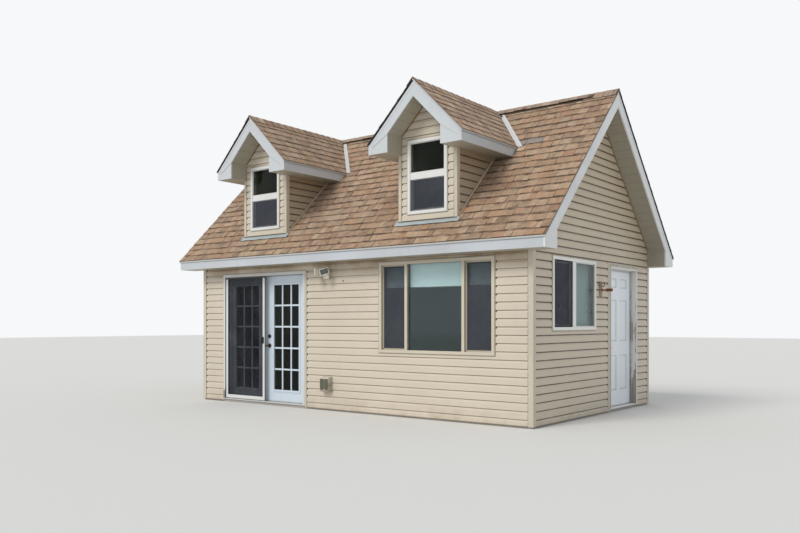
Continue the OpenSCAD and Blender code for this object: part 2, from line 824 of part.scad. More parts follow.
// French doors
module french_frame() {
    y0 = door_face_y;
    color([0.93, 0.93, 0.92]) {
        difference() {
            block([french_left, y0, slab_t], [french_right, -room_y, french_top]);
            block([french_left + jamb_w, y0 - eps, slab_t - eps],
                  [french_right - jamb_w, -room_y + eps, french_top - jamb_w]);
        }
        block([french_left + jamb_w, y0, slab_t], [french_right - jamb_w, -room_y, slab_t + sill_h]);
        translate([hinge_right_x, 0, 0]) hinge_fixed(hinge_zs);
        translate([hinge_left_x, 0, 0]) mirror([1, 0, 0]) hinge_fixed(hinge_zs);
        block([french_left + jamb_w, screen_y + screen_t / 2 - rail_t / 2, slab_t + sill_h],
              [french_right - jamb_w, screen_y + screen_t / 2 + rail_t / 2, rail_z]);
    }
}

// One French leaf with its left edge at x0: a slab with one large opening, a
// moulding round it on both faces, and glazing bars set back from the faces
module french_leaf(x0) {
    field_x = x0 + stile_w;
    field_z = leaf_z + french_rail_low;
    difference() {
        union() {
            block([x0, leaf_out_y, leaf_z], [x0 + french_leaf_w, leaf_in_y, leaf_z + french_leaf_h]);
            along_z(field_z - mould_w, field_z + field_h + mould_w)
                moulding_profile(field_x - mould_w, field_x + field_w + mould_w);
        }
        block([field_x, leaf_out_y - far, field_z], [field_x + field_w, 0, field_z + field_h]);
    }
    for (i = [1, 2])
        block([field_x + i * (light_w + bar_w) - bar_w, leaf_out_y + bar_set, field_z - eps],
              [field_x + i * (light_w + bar_w), leaf_in_y - bar_set, field_z + field_h + eps]);
    for (j = [1 : 4])
        block([field_x - eps, leaf_out_y + bar_set, field_z + j * (light_h + bar_w) - bar_w],
              [field_x + field_w + eps, leaf_in_y - bar_set, field_z + j * (light_h + bar_w)]);
}

// Plan of the moulding's raised band, its outer corners splayed
module moulding_profile(x0, x1) {
    polygon([[x0, leaf_out_y + eps], [x0 + mould_t, leaf_out_y - mould_t],
             [x1 - mould_t, leaf_out_y - mould_t], [x1, leaf_out_y + eps],
             [x1, leaf_in_y - eps], [x1 - mould_t, leaf_in_y + mould_t],
             [x0 + mould_t, leaf_in_y + mould_t], [x0, leaf_in_y - eps]]);
}

// The glass fills each light
module french_glass(x0) {
    for (i = [0 : 2], j = [0 : 4])
        translate([x0 + stile_w + i * (light_w + bar_w), (leaf_out_y + leaf_in_y - glass_t) / 2,
                   leaf_z + french_rail_low + j * (light_h + bar_w)])
            cube([light_w, glass_t, light_h]);
}

module french_leaf_left() {
    color([0.93, 0.93, 0.92]) {
        french_leaf(leaf_left_x);
        translate([hinge_left_x, 0, 0]) mirror([1, 0, 0]) hinge_moving(hinge_zs);
    }
}

module french_leaf_right() {
    color([0.93, 0.93, 0.92]) {
        french_leaf(leaf_right_x);
        translate([hinge_right_x, 0, 0]) hinge_moving(hinge_zs);
    }
}

module french_glass_left() { color([0.3, 0.36, 0.4, 0.5]) french_glass(leaf_left_x); }
module french_glass_right() { color([0.3, 0.36, 0.4, 0.5]) french_glass(leaf_right_x); }

// Lever handle and deadbolt on both faces of the right leaf
module french_handle() {
    neck = 46;
    lever_d = 18;
    lever_len = 60;
    color([0.2, 0.19, 0.18]) for (side = [0, 1])
        translate([leaf_right_x + backset, side == 0 ? leaf_out_y : leaf_in_y, 0]) mirror([0, side, 0]) {
            translate([0, 0, lever_z]) rotate([90, 0, 0]) {
                cylinder(d = rose_d, h = rose_t);
                cylinder(d = lever_d + 2, h = neck);
            }
            translate([0, lever_d / 2 - 2 - neck, lever_z]) rotate([0, -90, 0]) {
                translate([0, 0, -lever_d / 2]) cylinder(d = lever_d, h = lever_len);
                translate([0, 0, lever_len - lever_d / 2]) sphere(d = lever_d);
            }
            translate([0, 0, bolt_z]) rotate([90, 0, 0]) {
                cylinder(d = rose_d - 4, h = rose_t);
                cylinder(d1 = rose_d - 14, d2 = rose_d - 22, h = 24);
            }
        }
}

// Sliding insect screen on the outside of the left leaf
module screen_frame() {
    color([0.45, 0.46, 0.47]) {
        difference() {
            block([screen_x, screen_y, screen_z], [screen_x + screen_w, screen_y + screen_t, screen_top]);
            block([screen_x + screen_face, screen_y - eps, screen_z + screen_rail_low],
                  [screen_x + screen_w - screen_face, screen_y + screen_t + eps, screen_top - screen_rail_top]);
        }
        for (x = [screen_x + roller_in, screen_x + screen_w - roller_in])
            translate([x, screen_y + screen_t / 2 + rail_t / 2, rail_z + seat_gap + roller_r])
                rotate([90, 0, 0]) cylinder(r = roller_r, h = rail_t);
    }
}

module screen_mesh() {
    color([0.2, 0.2, 0.2, 0.7])
        block([screen_x + screen_face, screen_y + (screen_t - mesh_t) / 2, screen_z + screen_rail_low],
              [screen_x + screen_w - screen_face, screen_y + (screen_t + mesh_t) / 2,
               screen_top - screen_rail_top]);
}

// Side door
module side_door_frame() {
    y0 = door_face_y;
    color([0.93, 0.93, 0.92]) on_right() {
        difference() {
            block([side_door_front, y0, slab_t], [side_door_rear, -room_y, side_door_top]);
            block([side_door_front + jamb_w, y0 - eps, slab_t - eps],
                  [side_door_rear - jamb_w, -room_y + eps, side_door_top - side_head]);
        }
        block([side_door_front + jamb_w, y0, slab_t], [side_door_rear - jamb_w, -room_y, slab_t + sill_h]);
        door_stop(side_door_front + jamb_w, side_door_rear - jamb_w, side_door_top - side_head);
        translate([side_hinge_y, 0, 0]) hinge_fixed(hinge_zs);
    }
}

// Strips down both jambs and along the head, just outside the closed leaf
module door_stop(x0, x1, top) {
    y1 = leaf_out_y - leaf_gap;
    y0 = y1 - 14;
    for (x = [x0, x1 - stop_w]) block([x, y0, slab_t + sill_h], [x + stop_w, y1, top]);
    block([x0, y0, top - stop_w], [x1, y1, top]);
}

// Sunk panel with a raised field: a recess whose floor slopes up from its edges
// to a flat middle. Drawn about the outer face, reaching in by panel_dep
module panel_recess(x0, x1, z0, z1) {
    y0 = leaf_out_y;
    difference() {
        block([x0, y0 - eps, z0], [x1, y0 + panel_dep, z1]);
        intersection() {
            along_z(z0, z1)
                polygon([[x0, y0 + far], [x0, y0 + panel_dep], [x0 + panel_slope, y0 + eps],
                         [x1 - panel_slope, y0 + eps], [x1, y0 + panel_dep], [x1, y0 + far]]);
            along_x(x0, x1)
                polygon([[y0 + far, z0], [y0 + panel_dep, z0], [y0 + eps, z0 + panel_slope],
                         [y0 + eps, z1 - panel_slope], [y0 + panel_dep, z1], [y0 + far, z1]]);
        }
    }
}

// Six pressed panels on each face: three rows of two
module side_door_leaf() {
    x0 = side_leaf_x;
    panel_w = (side_leaf_w - 2 * panel_edge - panel_mid) / 2;
    color([0.95, 0.95, 0.95]) on_right() {
        difference() {
            block([x0, leaf_out_y, leaf_z], [x0 + side_leaf_w, leaf_in_y, leaf_z + side_leaf_h]);
            for (px = [x0 + panel_edge, x0 + panel_edge + panel_w + panel_mid], row = panel_rows,
                 face = [0, 1])
                translate([0, face * (leaf_out_y + leaf_in_y), leaf_z]) mirror([0, face, 0])
                    panel_recess(px, px + panel_w, row[0] * side_leaf_h, row[1] * side_leaf_h);
        }
        translate([side_hinge_y, 0, 0]) hinge_moving(hinge_zs);
    }
}

module side_door_knob() {
    ball_d = 52;
    color([0.75, 0.68, 0.5]) on_right() for (side = [0, 1])
        translate([side_leaf_x + backset, side == 0 ? leaf_out_y : leaf_in_y, lever_z])
            mirror([0, side, 0]) rotate([90, 0, 0]) {
                cylinder(d = rose_d - 2, h = rose_t);
                cylinder(d = ball_d / 2, h = 40);
                translate([0, 0, 42]) sphere(d = ball_d);
            }
}

// Wall fittings. One floodlight head, its lens frame centred on the origin and
// facing -Y, tapering to its back
module flood_head() {
    rim = 9;
    dep = 70;
    difference() {
        hull() {
            translate([-flood_head_w / 2, 0, -flood_head_h / 2]) cube([flood_head_w, 14, flood_head_h]);
            translate([-flood_head_w / 4, dep - 10, -flood_head_h / 4])
                cube([flood_head_w / 2, 10, flood_head_h / 2]);
        }
        translate([rim - flood_head_w / 2, -eps, rim - flood_head_h / 2])
            cube([flood_head_w - 2 * rim, 10 + eps, flood_head_h - 2 * rim]);
    }
}

// Twin floodlight: plate, two knuckle arms, and heads turned apart by flood_yaw;
// the right head is also tipped by flood_roll
module floodlight() {
    plate = 116;
    plate_t = 34;
    yaw = 43;
    roll = 18;
    head_y = -clad_t - flood_reach;
    head_z = 37;
    neck = 52;
    color([0.86, 0.83, 0.74]) translate([french_right + flood_off, -wall_y, eave_z - flood_drop]) {
        translate([-plate / 2, -plate_t, -plate / 2]) cube([plate, plate_t, plate]);
        for (side = [-1, 1]) {
            back = [side * (flood_spread - neck * sin(yaw)), head_y + neck * cos(yaw), head_z];
            root = [side * plate / 4, eps - plate_t, head_z / 2];
            arm(root, back, 22);
            translate(back) sphere(d = 36);
            translate([side * flood_spread, head_y, head_z])
                rotate([0, side > 0 ? -roll : 0, side * yaw]) flood_head();
        }
    }
}

// Round arm between two points
module arm(a, b, d) {
    run = b - a;
    turn = atan2(run[1], run[0]);
    tip = acos(run[2] / norm(run));
    translate(a) rotate([0, tip, turn]) cylinder(d = d, h = norm(run));
}

// What is left of a wall lamp: back plate, boss, two scrolls and a stout arm
module lamp_bracket() {
    plate_w = 68;
    plate_h = 212;
    plate_t = clad_t + 10;
    scroll_r = 24;
    scroll_d = 11;
    scroll_z = 62;
    stout = 0.42 * bracket_arm;
    boss_t = 24;
    arm_d = 18;
    stout_d = 40;
    color([0.8, 0.72, 0.57]) translate([wall_x, bracket_y, bracket_z]) {
        along_x(0, plate_t) {
            square([plate_w, plate_h - plate_w], center = true);
            for (end = [-1, 1]) translate([0, end * (plate_h - plate_w) / 2]) circle(d = plate_w);
        }
        translate([plate_t - eps, 0, bracket_rise]) rotate([0, 90, 0]) {
            cylinder(d1 = 2.5 * arm_d, d2 = 1.6 * arm_d, h = boss_t);
            cylinder(d = arm_d, h = bracket_arm - plate_t);
            translate([0, 0, stout]) cylinder(d = stout_d, h = bracket_arm - plate_t - stout);
        }
        translate([plate_t + scroll_r, 0, scroll_z])
            rotate([90, 0, 0]) rotate_extrude() translate([scroll_r, 0]) circle(d = scroll_d);
        translate([plate_t - scroll_d / 2, -plate_w / 2 - scroll_r / 2, scroll_z])
            rotate([0, 90, 0]) rotate_extrude() translate([scroll_r, 0]) circle(d = scroll_d);
    }
}

// Outdoor socket: mounting block in the siding, a deep cover, and two lids with
// round lower ends on the cover
module socket_box() {
    block_t = clad_t + 10;
    rim = 6;
    lid_t = 8;
    cover_w = socket_w - 2 * rim;
    cover_h = socket_h - 2 * rim;
    lid_w = 0.4 * cover_w;
    lid_h = 0.76 * cover_h;
    front = block_t + socket_cover - lid_t;
    color([0.7, 0.68, 0.6]) translate([french_right + socket_off, -wall_y, socket_z]) {
        translate([-socket_w / 2, -block_t, -socket_h / 2]) cube([socket_w, block_t, socket_h]);
        along_x(-cover_w / 2, cover_w / 2)
            polygon([[eps - block_t, -cover_h / 2], [-front + rim, -cover_h / 2], [-front, rim - cover_h / 2],
                     [-front, cover_h / 2 - 2 * rim], [-front + 2 * rim, cover_h / 2],
                     [eps - block_t, cover_h / 2]]);
        for (side = [-1, 1]) translate([side * cover_w / 4, 0, (lid_w - lid_h) / 2])
            along_y(-front - lid_t, -front + eps) {
                translate([-lid_w / 2, 0]) square([lid_w, lid_h - lid_w / 2]);
                circle(d = lid_w);
            }
    }
}

floor_slab();
front_wall_left();
front_wall_over_doors();
front_wall_right();
right_wall_front();
right_wall_rear();
right_gable();
left_wall();
rear_wall();
corner_posts();
loft_floor();
roof_front();
roof_rear();
ridge_cap();
eave_fascias();
rake_trims();
soffits();
left_dormer_front();
left_dormer_cheeks();
left_dormer_roof();
left_dormer_trim();
right_dormer_front();
right_dormer_cheeks();
right_dormer_roof();
right_dormer_trim();
dormer_soffits();
dormer_flashings();
dormer_windows();
picture_window();
side_window();
window_glass();
french_frame();
french_leaf_left();
french_leaf_right();
french_glass_left();
french_glass_right();
french_handle();
screen_frame();
screen_mesh();
side_door_frame();
side_door_leaf();
side_door_knob();
floodlight();
lamp_bracket();
socket_box();
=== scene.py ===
"""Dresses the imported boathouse: siding, shingles, glazing, fittings, finishes, camera and light.

Lengths are in metres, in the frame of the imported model: +X along the front to the right,
-Y towards the front, +Z up, the origin in the middle of the plan at ground level.
"""
from __future__ import annotations

import logging
import math
import random
from collections.abc import Callable, Iterable, Iterator, Sequence
from contextlib import contextmanager
from dataclasses import dataclass, field
from enum import Enum

import bpy
import numpy as np
from mathutils import Matrix, Vector


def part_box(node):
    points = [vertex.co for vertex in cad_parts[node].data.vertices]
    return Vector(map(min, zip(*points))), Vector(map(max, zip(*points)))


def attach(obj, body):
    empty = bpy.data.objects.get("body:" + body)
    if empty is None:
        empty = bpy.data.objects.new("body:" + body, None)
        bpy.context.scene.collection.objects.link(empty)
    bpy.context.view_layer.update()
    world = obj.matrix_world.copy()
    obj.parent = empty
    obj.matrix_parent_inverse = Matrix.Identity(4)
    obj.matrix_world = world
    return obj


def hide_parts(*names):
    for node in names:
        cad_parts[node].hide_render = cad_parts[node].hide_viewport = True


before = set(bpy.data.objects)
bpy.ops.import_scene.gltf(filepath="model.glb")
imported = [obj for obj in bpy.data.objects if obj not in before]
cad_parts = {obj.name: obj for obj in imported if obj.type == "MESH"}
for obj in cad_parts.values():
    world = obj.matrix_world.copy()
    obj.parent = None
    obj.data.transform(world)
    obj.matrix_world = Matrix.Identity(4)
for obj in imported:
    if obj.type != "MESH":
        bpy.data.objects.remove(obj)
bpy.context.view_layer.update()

LOG = logging.getLogger("boathouse")
SEED = 2307
HOUSE = "house"
ROOT_HALF = math.sqrt(0.5)
HAIR = 1e-3
RIM = 0.0005
SOFT_EDGE = 0.002
ROD_SIDES = 20

Object = bpy.types.Object
Material = bpy.types.Material
Tree = bpy.types.NodeTree
Node = bpy.types.Node
Socket = bpy.types.NodeSocket
Sockets = bpy.types.NodeOutputs
Triple = tuple[float, float, float]
Span = tuple[float, float]
Rect = tuple[float, float, float, float]
Cut = tuple[Triple, Triple]


def deselect() -> None:
    """Leave edit mode and deselect every object."""
    if bpy.context.object and bpy.context.object.mode != "OBJECT":
        bpy.ops.object.mode_set(mode="OBJECT")
    bpy.ops.object.select_all(action="DESELECT")


def pick(obj: Object) -> None:
    """Select one object alone and make it active."""
    deselect()
    obj.select_set(True)
    bpy.context.view_layer.objects.active = obj


@contextmanager
def editing(obj: Object) -> Iterator[None]:
    """Edit a mesh with all of it selected."""
    pick(obj)
    bpy.ops.object.mode_set(mode="EDIT")
    bpy.ops.mesh.select_all(action="SELECT")
    yield
    bpy.ops.object.mode_set(mode="OBJECT")


def settle(
    name: str, at: Sequence[float], size: Sequence[float] = (1, 1, 1), turn: Sequence[float] = (0, 0, 0)
) -> Object:
    """Name the primitive just added and write its place, scale and turn into its mesh."""
    obj = bpy.context.active_object
    obj.name = name
    obj.location = at
    obj.scale = size
    obj.rotation_euler = turn
    pick(obj)
    bpy.ops.object.transform_apply(location=True, rotation=True, scale=True)
    return obj


def modify(obj: Object, kind: str, **settings: object) -> None:
    """Add a modifier to a mesh, set its properties and apply it."""
    modifier = obj.modifiers.new(kind.lower(), kind)
    for key, value in settings.items():
        setattr(modifier, key, value)
    pick(obj)
    bpy.ops.object.modifier_apply(modifier=modifier.name)


def add_object(name: str, mesh: bpy.types.Mesh) -> Object:
    """Put a mesh into the scene as a new object."""
    obj = bpy.data.objects.new(name, mesh)
    bpy.context.scene.collection.objects.link(obj)
    return obj


def block(name: str, low: Sequence[float], high: Sequence[float], bevel: float = 0.0) -> Object:
    """Add a cuboid between two corners.

    Args:
        name: name of the new object.
        low: lowest corner.
        high: highest corner.
        bevel: width of the bevel on its edges, none at 0.

    Returns:
        The new object, its place in its mesh.
    """
    deselect()
    lo, hi = Vector(low), Vector(high)
    bpy.ops.mesh.primitive_cube_add(size=1.0)
    obj = settle(name, (lo + hi) / 2, hi - lo)
    if bevel > 0:
        with editing(obj):
            bpy.ops.mesh.bevel(offset=bevel, segments=2, affect="EDGES")
    return obj


def rod(name: str, start: Sequence[float], end: Sequence[float], radius: float, bevel: float) -> Object:
    """Add a round bar between two points, its two rims bevelled.

    Args:
        name: name of the new object.
        start: middle of one end.
        end: middle of the other end.
        radius: radius of the rod.
        bevel: width of the bevel on its rims.

    Returns:
        The new object, its place in its mesh.
    """
    deselect()
    a, b = Vector(start), Vector(end)
    bpy.ops.mesh.primitive_cylinder_add(vertices=ROD_SIDES, radius=radius, depth=(b - a).length)
    obj = settle(name, (a + b) / 2, turn=(b - a).to_track_quat("Z", "Y").to_euler())
    modify(obj, "BEVEL", width=bevel, segments=2, limit_method="ANGLE", angle_limit=math.radians(50))
    return obj


def join(name: str, parts: Sequence[Object]) -> Object:
    """Join several meshes into the first of them."""
    deselect()
    for part in parts:
        part.select_set(True)
    bpy.context.view_layer.objects.active = parts[0]
    if len(parts) > 1:
        bpy.ops.object.join()
    parts[0].name = name
    return parts[0]


def shift(obj: Object, test: Callable[[Vector], bool], delta: Triple) -> None:
    """Move the vertices whose place passes the test."""
    pick(obj)
    bpy.ops.object.mode_set(mode="EDIT")
    bpy.ops.mesh.select_mode(type="VERT")
    bpy.ops.mesh.select_all(action="DESELECT")
    bpy.ops.object.mode_set(mode="OBJECT")
    for vertex in obj.data.vertices:
        vertex.select = test(vertex.co)
    bpy.ops.object.mode_set(mode="EDIT")
    bpy.ops.transform.translate(value=delta)
    bpy.ops.object.mode_set(mode="OBJECT")


def bisect(obj: Object, point: Sequence[float], normal: Sequence[float], clear: bool = True) -> None:
    """Cut a mesh along a plane.

    Args:
        obj: the mesh to cut.
        point: a point on the plane.
        normal: the plane's normal; what lies on its side is taken away.
        clear: False only adds the edges of the cut.
    """
    with editing(obj):
        bpy.ops.mesh.bisect(plane_co=tuple(point), plane_no=tuple(normal), use_fill=clear, clear_outer=clear)


def trim(obj: Object, cuts: Iterable[Cut]) -> None:
    """Take away what lies beyond each plane, given as (point, normal)."""
    for point, normal in cuts:
        bisect(obj, point, normal)


def carve(obj: Object, boxes: Iterable[tuple[Sequence[float], Sequence[float]]]) -> None:
    """Cut box-shaped holes out of a mesh with an applied Boolean modifier."""
    cutters = [block("cutter", low, high) for low, high in boxes]
    if cutters:
        cutter = join("cutter", cutters)
        modify(obj, "BOOLEAN", operation="DIFFERENCE", solver="EXACT", use_self=True, object=cutter)
        discard(cutter)


def lean(obj: Object, spot: Sequence[float], sign: int, degrees: float = 45.0) -> None:
    """Turn a part drawn along X down a gable's slope, mirrored for the left slope.

    Args:
        obj: the part.
        spot: where its origin goes.
        sign: 1 for the right slope, -1 for the left.
        degrees: fall of the slope.
    """
    turn = Matrix.Rotation(math.radians(degrees), 4, "Y")
    obj.data.transform(Matrix.Translation(spot) @ Matrix.Diagonal((sign, 1, 1, 1)) @ turn)
    if sign < 0:
        obj.data.flip_normals()


def stamp(
    name: str, master: Object, places: Sequence[Matrix], tones: Sequence[Triple] | None = None, axis: int = 1
) -> Object:
    """Make one piece from a copy of a finished master at each place.

    Args:
        name: name of the new piece.
        master: the modelled piece; it is kept.
        places: where each copy goes.
        tones: colour variation of each copy, kept in the attribute "tone".
        axis: the master's axis whose share of its length goes into the attribute's alpha.

    Returns:
        The joined copies, their places in the mesh.
    """
    base = np.array([v.co for v in master.data.vertices])
    faces = [tuple(p.vertices) for p in master.data.polygons]
    count = len(base)
    points = np.concatenate([base @ np.array(m.to_3x3()).T + np.array(m.translation) for m in places])
    polygons = [tuple(i + n * count for i in face) for n in range(len(places)) for face in faces]
    mesh = bpy.data.meshes.new(name)
    mesh.from_pydata(points.tolist(), [], polygons)
    mesh.update()
    if tones is not None:
        corners = [i for face in faces for i in face]
        low, high = base[:, axis].min(), base[:, axis].max()
        colours = np.repeat(np.array([(*tone, 1.0) for tone in tones]), len(corners), axis=0)
        colours[:, 3] = np.tile((base[corners, axis] - low) / (high - low), len(places))
        layer = mesh.color_attributes.new(name="tone", type="FLOAT_COLOR", domain="CORNER")
        layer.data.foreach_set("color", colours.ravel())
    return add_object(name, mesh)


def discard(obj: Object) -> None:
    """Delete a master or helper object."""
    bpy.data.objects.remove(obj)


class Value:
    """A number that a node works out; the signs of sums and comparisons add nodes to its graph."""

    def __init__(self, graph: Graph, socket: Socket) -> None:
        """Keep the graph and the socket that gives the number."""
        self.graph = graph
        self.socket = socket

    def __add__(self, other: object) -> Value:
        """The sum."""
        return self.graph.math("ADD", self, other)

    def __sub__(self, other: object) -> Value:
        """The difference."""
        return self.graph.math("SUBTRACT", self, other)

    def __rsub__(self, other: float) -> Value:
        """A plain number less this one."""
        return self.graph.math("SUBTRACT", other, self)

    def __mul__(self, other: object) -> Value:
        """The product, which is where both of two masks lie."""
        return self.graph.math("MULTIPLY", self, other)

    def __or__(self, other: Value) -> Value:
        """The larger number, which is where either of two masks lies."""
        return self.graph.math("MAXIMUM", self, other)

    def __lt__(self, limit: float) -> Value:
        """A mask of where the number is under the limit."""
        return self.graph.math("LESS_THAN", self, limit)

    def __gt__(self, limit: float) -> Value:
        """A mask of where the number is over the limit."""
        return self.graph.math("GREATER_THAN", self, limit)

    def __abs__(self) -> Value:
        """The number without its sign."""
        return self.graph.math("ABSOLUTE", self)

    def held(self) -> Value:
        """The same number, held from 0 to 1 by the node that works it out."""
        self.socket.node.use_clamp = True
        return self


class Graph:
    """Nodes of one material or group, made and wired by short calls."""

    def __init__(self, tree: Tree) -> None:
        """Keep the tree that the nodes go into."""
        self.tree = tree

    def node(self, kind: str, **settings: object) -> Node:
        """Add a node and set its properties."""
        made = self.tree.nodes.new(kind)
        for key, value in settings.items():
            setattr(made, key, value)
        return made

    def feed(self, socket: Socket, value: object) -> None:
        """Link a socket to another, or set its value."""
        if isinstance(value, Value):
            value = value.socket
        if isinstance(value, Socket):
            self.tree.links.new(value, socket)
        elif isinstance(value, tuple) and len(value) == 3 and socket.type == "RGBA":
            socket.default_value = (*value, 1.0)
        else:
            socket.default_value = value

    def give(self, node: Node, values: dict[str | int, object]) -> Sockets:
        """Feed inputs of a node by name or number, and return its outputs."""
        for key, value in values.items():
            self.feed(node.inputs[key], value)
        return node.outputs

    def split(self, vector: Socket) -> tuple[Value, ...]:
        """The X, Y and Z of a vector."""
        parts = self.give(self.node("ShaderNodeSeparateXYZ"), {0: vector})
        return tuple(Value(self, part) for part in parts)

    def place(self) -> Socket:
        """Object coordinates, which are the house's own frame."""
        return self.node("ShaderNodeTexCoord").outputs["Object"]

    def where(self) -> tuple[Value, ...]:
        """The X, Y and Z of the place on the surface."""
        return self.split(self.place())

    def facing(self) -> tuple[Value, ...]:
        """The X, Y and Z of the way that the surface faces."""
        return self.split(self.node("ShaderNodeNewGeometry").outputs["Normal"])

    def math(self, operation: str, a: object, b: object = 0.0) -> Value:
        """A sum on one or two numbers."""
        made = self.node("ShaderNodeMath", operation=operation)
        return Value(self, self.give(made, {0: a, 1: b})[0])

    def mix(self, share: object, a: object, b: object, blend: str = "MIX") -> Socket:
        """A blend of two colours."""
        made = self.node("ShaderNodeMix", data_type="RGBA", blend_type=blend)
        return self.give(made, {"Factor": share, 6: a, 7: b})[2]

    def shaded(self, colour: object, value: Value) -> Socket:
        """A colour times a number."""
        grey = self.give(self.node("ShaderNodeCombineColor"), {0: value, 1: value, 2: value})[0]
        return self.mix(1.0, colour, grey, "MULTIPLY")

    def span(self, value: object, source: Span, target: Span = (0.0, 1.0)) -> Value:
        """A number mapped from one range to another and held at its ends."""
        low, high = source
        a, b = target
        ends = {"From Min": low, "From Max": high, "To Min": a, "To Max": b}
        made = self.node("ShaderNodeMapRange", clamp=True)
        return Value(self, self.give(made, {**ends, "Value": value})[0])

    def noise(self, scale: object, detail: float, stretch: Triple = (1, 1, 1), rough: float = 0.55) -> Value:
        """Noise on Object coordinates, 0 to 1.

        Args:
            scale: size of the pattern, larger is finer.
            detail: octaves.
            stretch: scale along each axis.
            rough: strength of the finer octaves.

        Returns:
            The noise value.
        """
        mapping = self.node("ShaderNodeMapping")
        spot = self.give(mapping, {"Scale": stretch, "Vector": self.place()})[0]
        made = self.node("ShaderNodeTexNoise")
        values = {"Vector": spot, "Scale": scale, "Detail": detail, "Roughness": rough}
        return Value(self, self.give(made, values)["Fac"])

    def clouds(
        self, scale: object, detail: float, target: Span = (0.0, 1.0), source: Span = (0.3, 0.7),
        stretch: Triple = (1, 1, 1),
    ) -> Value:
        """Noise whose source range is mapped to the target range."""
        return self.span(self.noise(scale, detail, stretch), source, target)

    def group(self, tree: Tree, **values: object) -> Socket:
        """Place a shared effect, give its inputs and return its output."""
        return self.give(self.node("ShaderNodeGroup", node_tree=tree), values)[0]


def new_group(name: str, inputs: dict[str, object], output: str, kind: str) -> Graph:
    """Start a shader node group.

    Args:
        name: name of the group.
        inputs: default value of each input; a triple makes a colour.
        output: name of its output.
        kind: socket type of its output.

    Returns:
        The graph on the group's tree.
    """
    tree = bpy.data.node_groups.new(name, "ShaderNodeTree")
    for key, value in inputs.items():
        is_colour = isinstance(value, tuple)
        socket_type = "NodeSocketColor" if is_colour else "NodeSocketFloat"
        made = tree.interface.new_socket(name=key, in_out="INPUT", socket_type=socket_type)
        made.default_value = (*value, 1.0) if is_colour else value
    tree.interface.new_socket(name=output, in_out="OUTPUT", socket_type=kind)
    return Graph(tree)


def grime_group() -> Tree:
    """Blotchy dirt over a colour: large soft stains with fine speckle and faint runs."""
    inputs = {"Color": (0.8, 0.8, 0.8), "Dirt": (0.2, 0.18, 0.15), "Amount": 0.3, "Scale": 1.0}
    graph = new_group("Grime", inputs, "Color", "NodeSocketColor")
    given = graph.node("NodeGroupInput").outputs
    scale = Value(graph, given["Scale"])
    broad = graph.clouds(scale * 0.9, 5, source=(0.42, 0.75))
    fine = graph.noise(scale * 14.0, 6)
    runs = graph.clouds(scale * 6.0, 3, source=(0.5, 0.8), stretch=(1, 1, 0.08))
    mask = ((broad * fine | runs * 0.35) * given["Amount"]).held()
    graph.give(graph.node("NodeGroupOutput"), {"Color": graph.mix(mask, given["Color"], given["Dirt"])})
    return graph.tree


def relief_group() -> Tree:
    """Fine surface relief from two sizes of noise, as a height."""
    graph = new_group("Relief", {"Scale": 60.0, "Waves": 2.0}, "Height", "NodeSocketFloat")
    given = graph.node("NodeGroupInput").outputs
    height = graph.noise(given["Scale"], 5) * 0.25 + graph.noise(given["Waves"], 2)
    graph.give(graph.node("NodeGroupOutput"), {"Height": height})
    return graph.tree


def start_material(name: str) -> tuple[Material, Graph, Node]:
    """Start a material, and return it with its graph and its shader, wired to the output."""
    made = bpy.data.materials.new(name)
    made.use_nodes = True
    made.node_tree.nodes.clear()
    graph = Graph(made.node_tree)
    shader = graph.node("ShaderNodeBsdfPrincipled")
    graph.give(graph.node("ShaderNodeOutputMaterial"), {"Surface": shader.outputs[0]})
    return made, graph, shader


@dataclass(frozen=True)
class Effects:
    """Shared effects, built once."""

    grime: Tree
    relief: Tree


@dataclass(frozen=True)
class Finish:
    """A plain sound finish with grime, fine relief, a little gloss variation and, where asked, dirt with
    painted shade in its creases.
    """

    name: str
    base: Triple
    rough: float = 0.5
    dirt: Triple = (0.22, 0.18, 0.13)
    dirt_amount: float = 0.25
    dirt_scale: float = 1.0
    metallic: float = 0.0
    specular: float = 0.5
    relief: float = 0.1
    relief_depth: float = 0.004
    relief_scale: float = 60.0
    wave: float = 1.5
    crease_dirt_and_shade: float = 0.0
    crease_shade_reach: float = 0.03
    crease_shade_open: Span = (0.95, 0.45)
    sheen: float = 0.0
    drift: Span = (0.94, 1.05)

    def grimy(self, graph: Graph, effects: Effects, colour: object, scale: float) -> Socket:
        """A colour under the finish's dirt."""
        return graph.group(effects.grime, Color=colour, Dirt=self.dirt, Amount=self.dirt_amount, Scale=scale)

    def colour(self, graph: Graph, effects: Effects) -> Socket:
        """The finish's colour over the surface, before its shader."""
        tint = graph.shaded(self.base, graph.clouds(0.7, 3, self.drift))
        return self.grimy(graph, effects, tint, self.dirt_scale)

    def material(self, effects: Effects) -> Material:
        """Build the material."""
        made, graph, shader = start_material(self.name)
        colour = self.colour(graph, effects)
        # Painted shade: ambient occlusion pulls creases and recesses towards the dirt colour, for shade there
        # as well as dirt.
        if self.crease_dirt_and_shade:
            opening = graph.node("ShaderNodeAmbientOcclusion", samples=4)
            light = graph.give(opening, {"Distance": self.crease_shade_reach})["AO"]
            colour = graph.mix(graph.span(light, self.crease_shade_open, (0.0, self.crease_dirt_and_shade)), colour, self.dirt)
        height = graph.group(effects.relief, Scale=self.relief_scale, Waves=self.wave)
        bump = {"Strength": self.relief, "Distance": self.relief_depth, "Height": height}
        graph.give(shader, {
            "Base Color": colour,
            "Roughness": graph.clouds(9.0, 3, (self.rough * 0.85, min(1.0, self.rough * 1.15))),
            "Normal": graph.give(graph.node("ShaderNodeBump"), bump)[0],
            "Metallic": self.metallic,
            "Specular IOR Level": self.specular,
            "Sheen Weight": self.sheen,
            "Sheen Roughness": 0.6,
        })
        return made


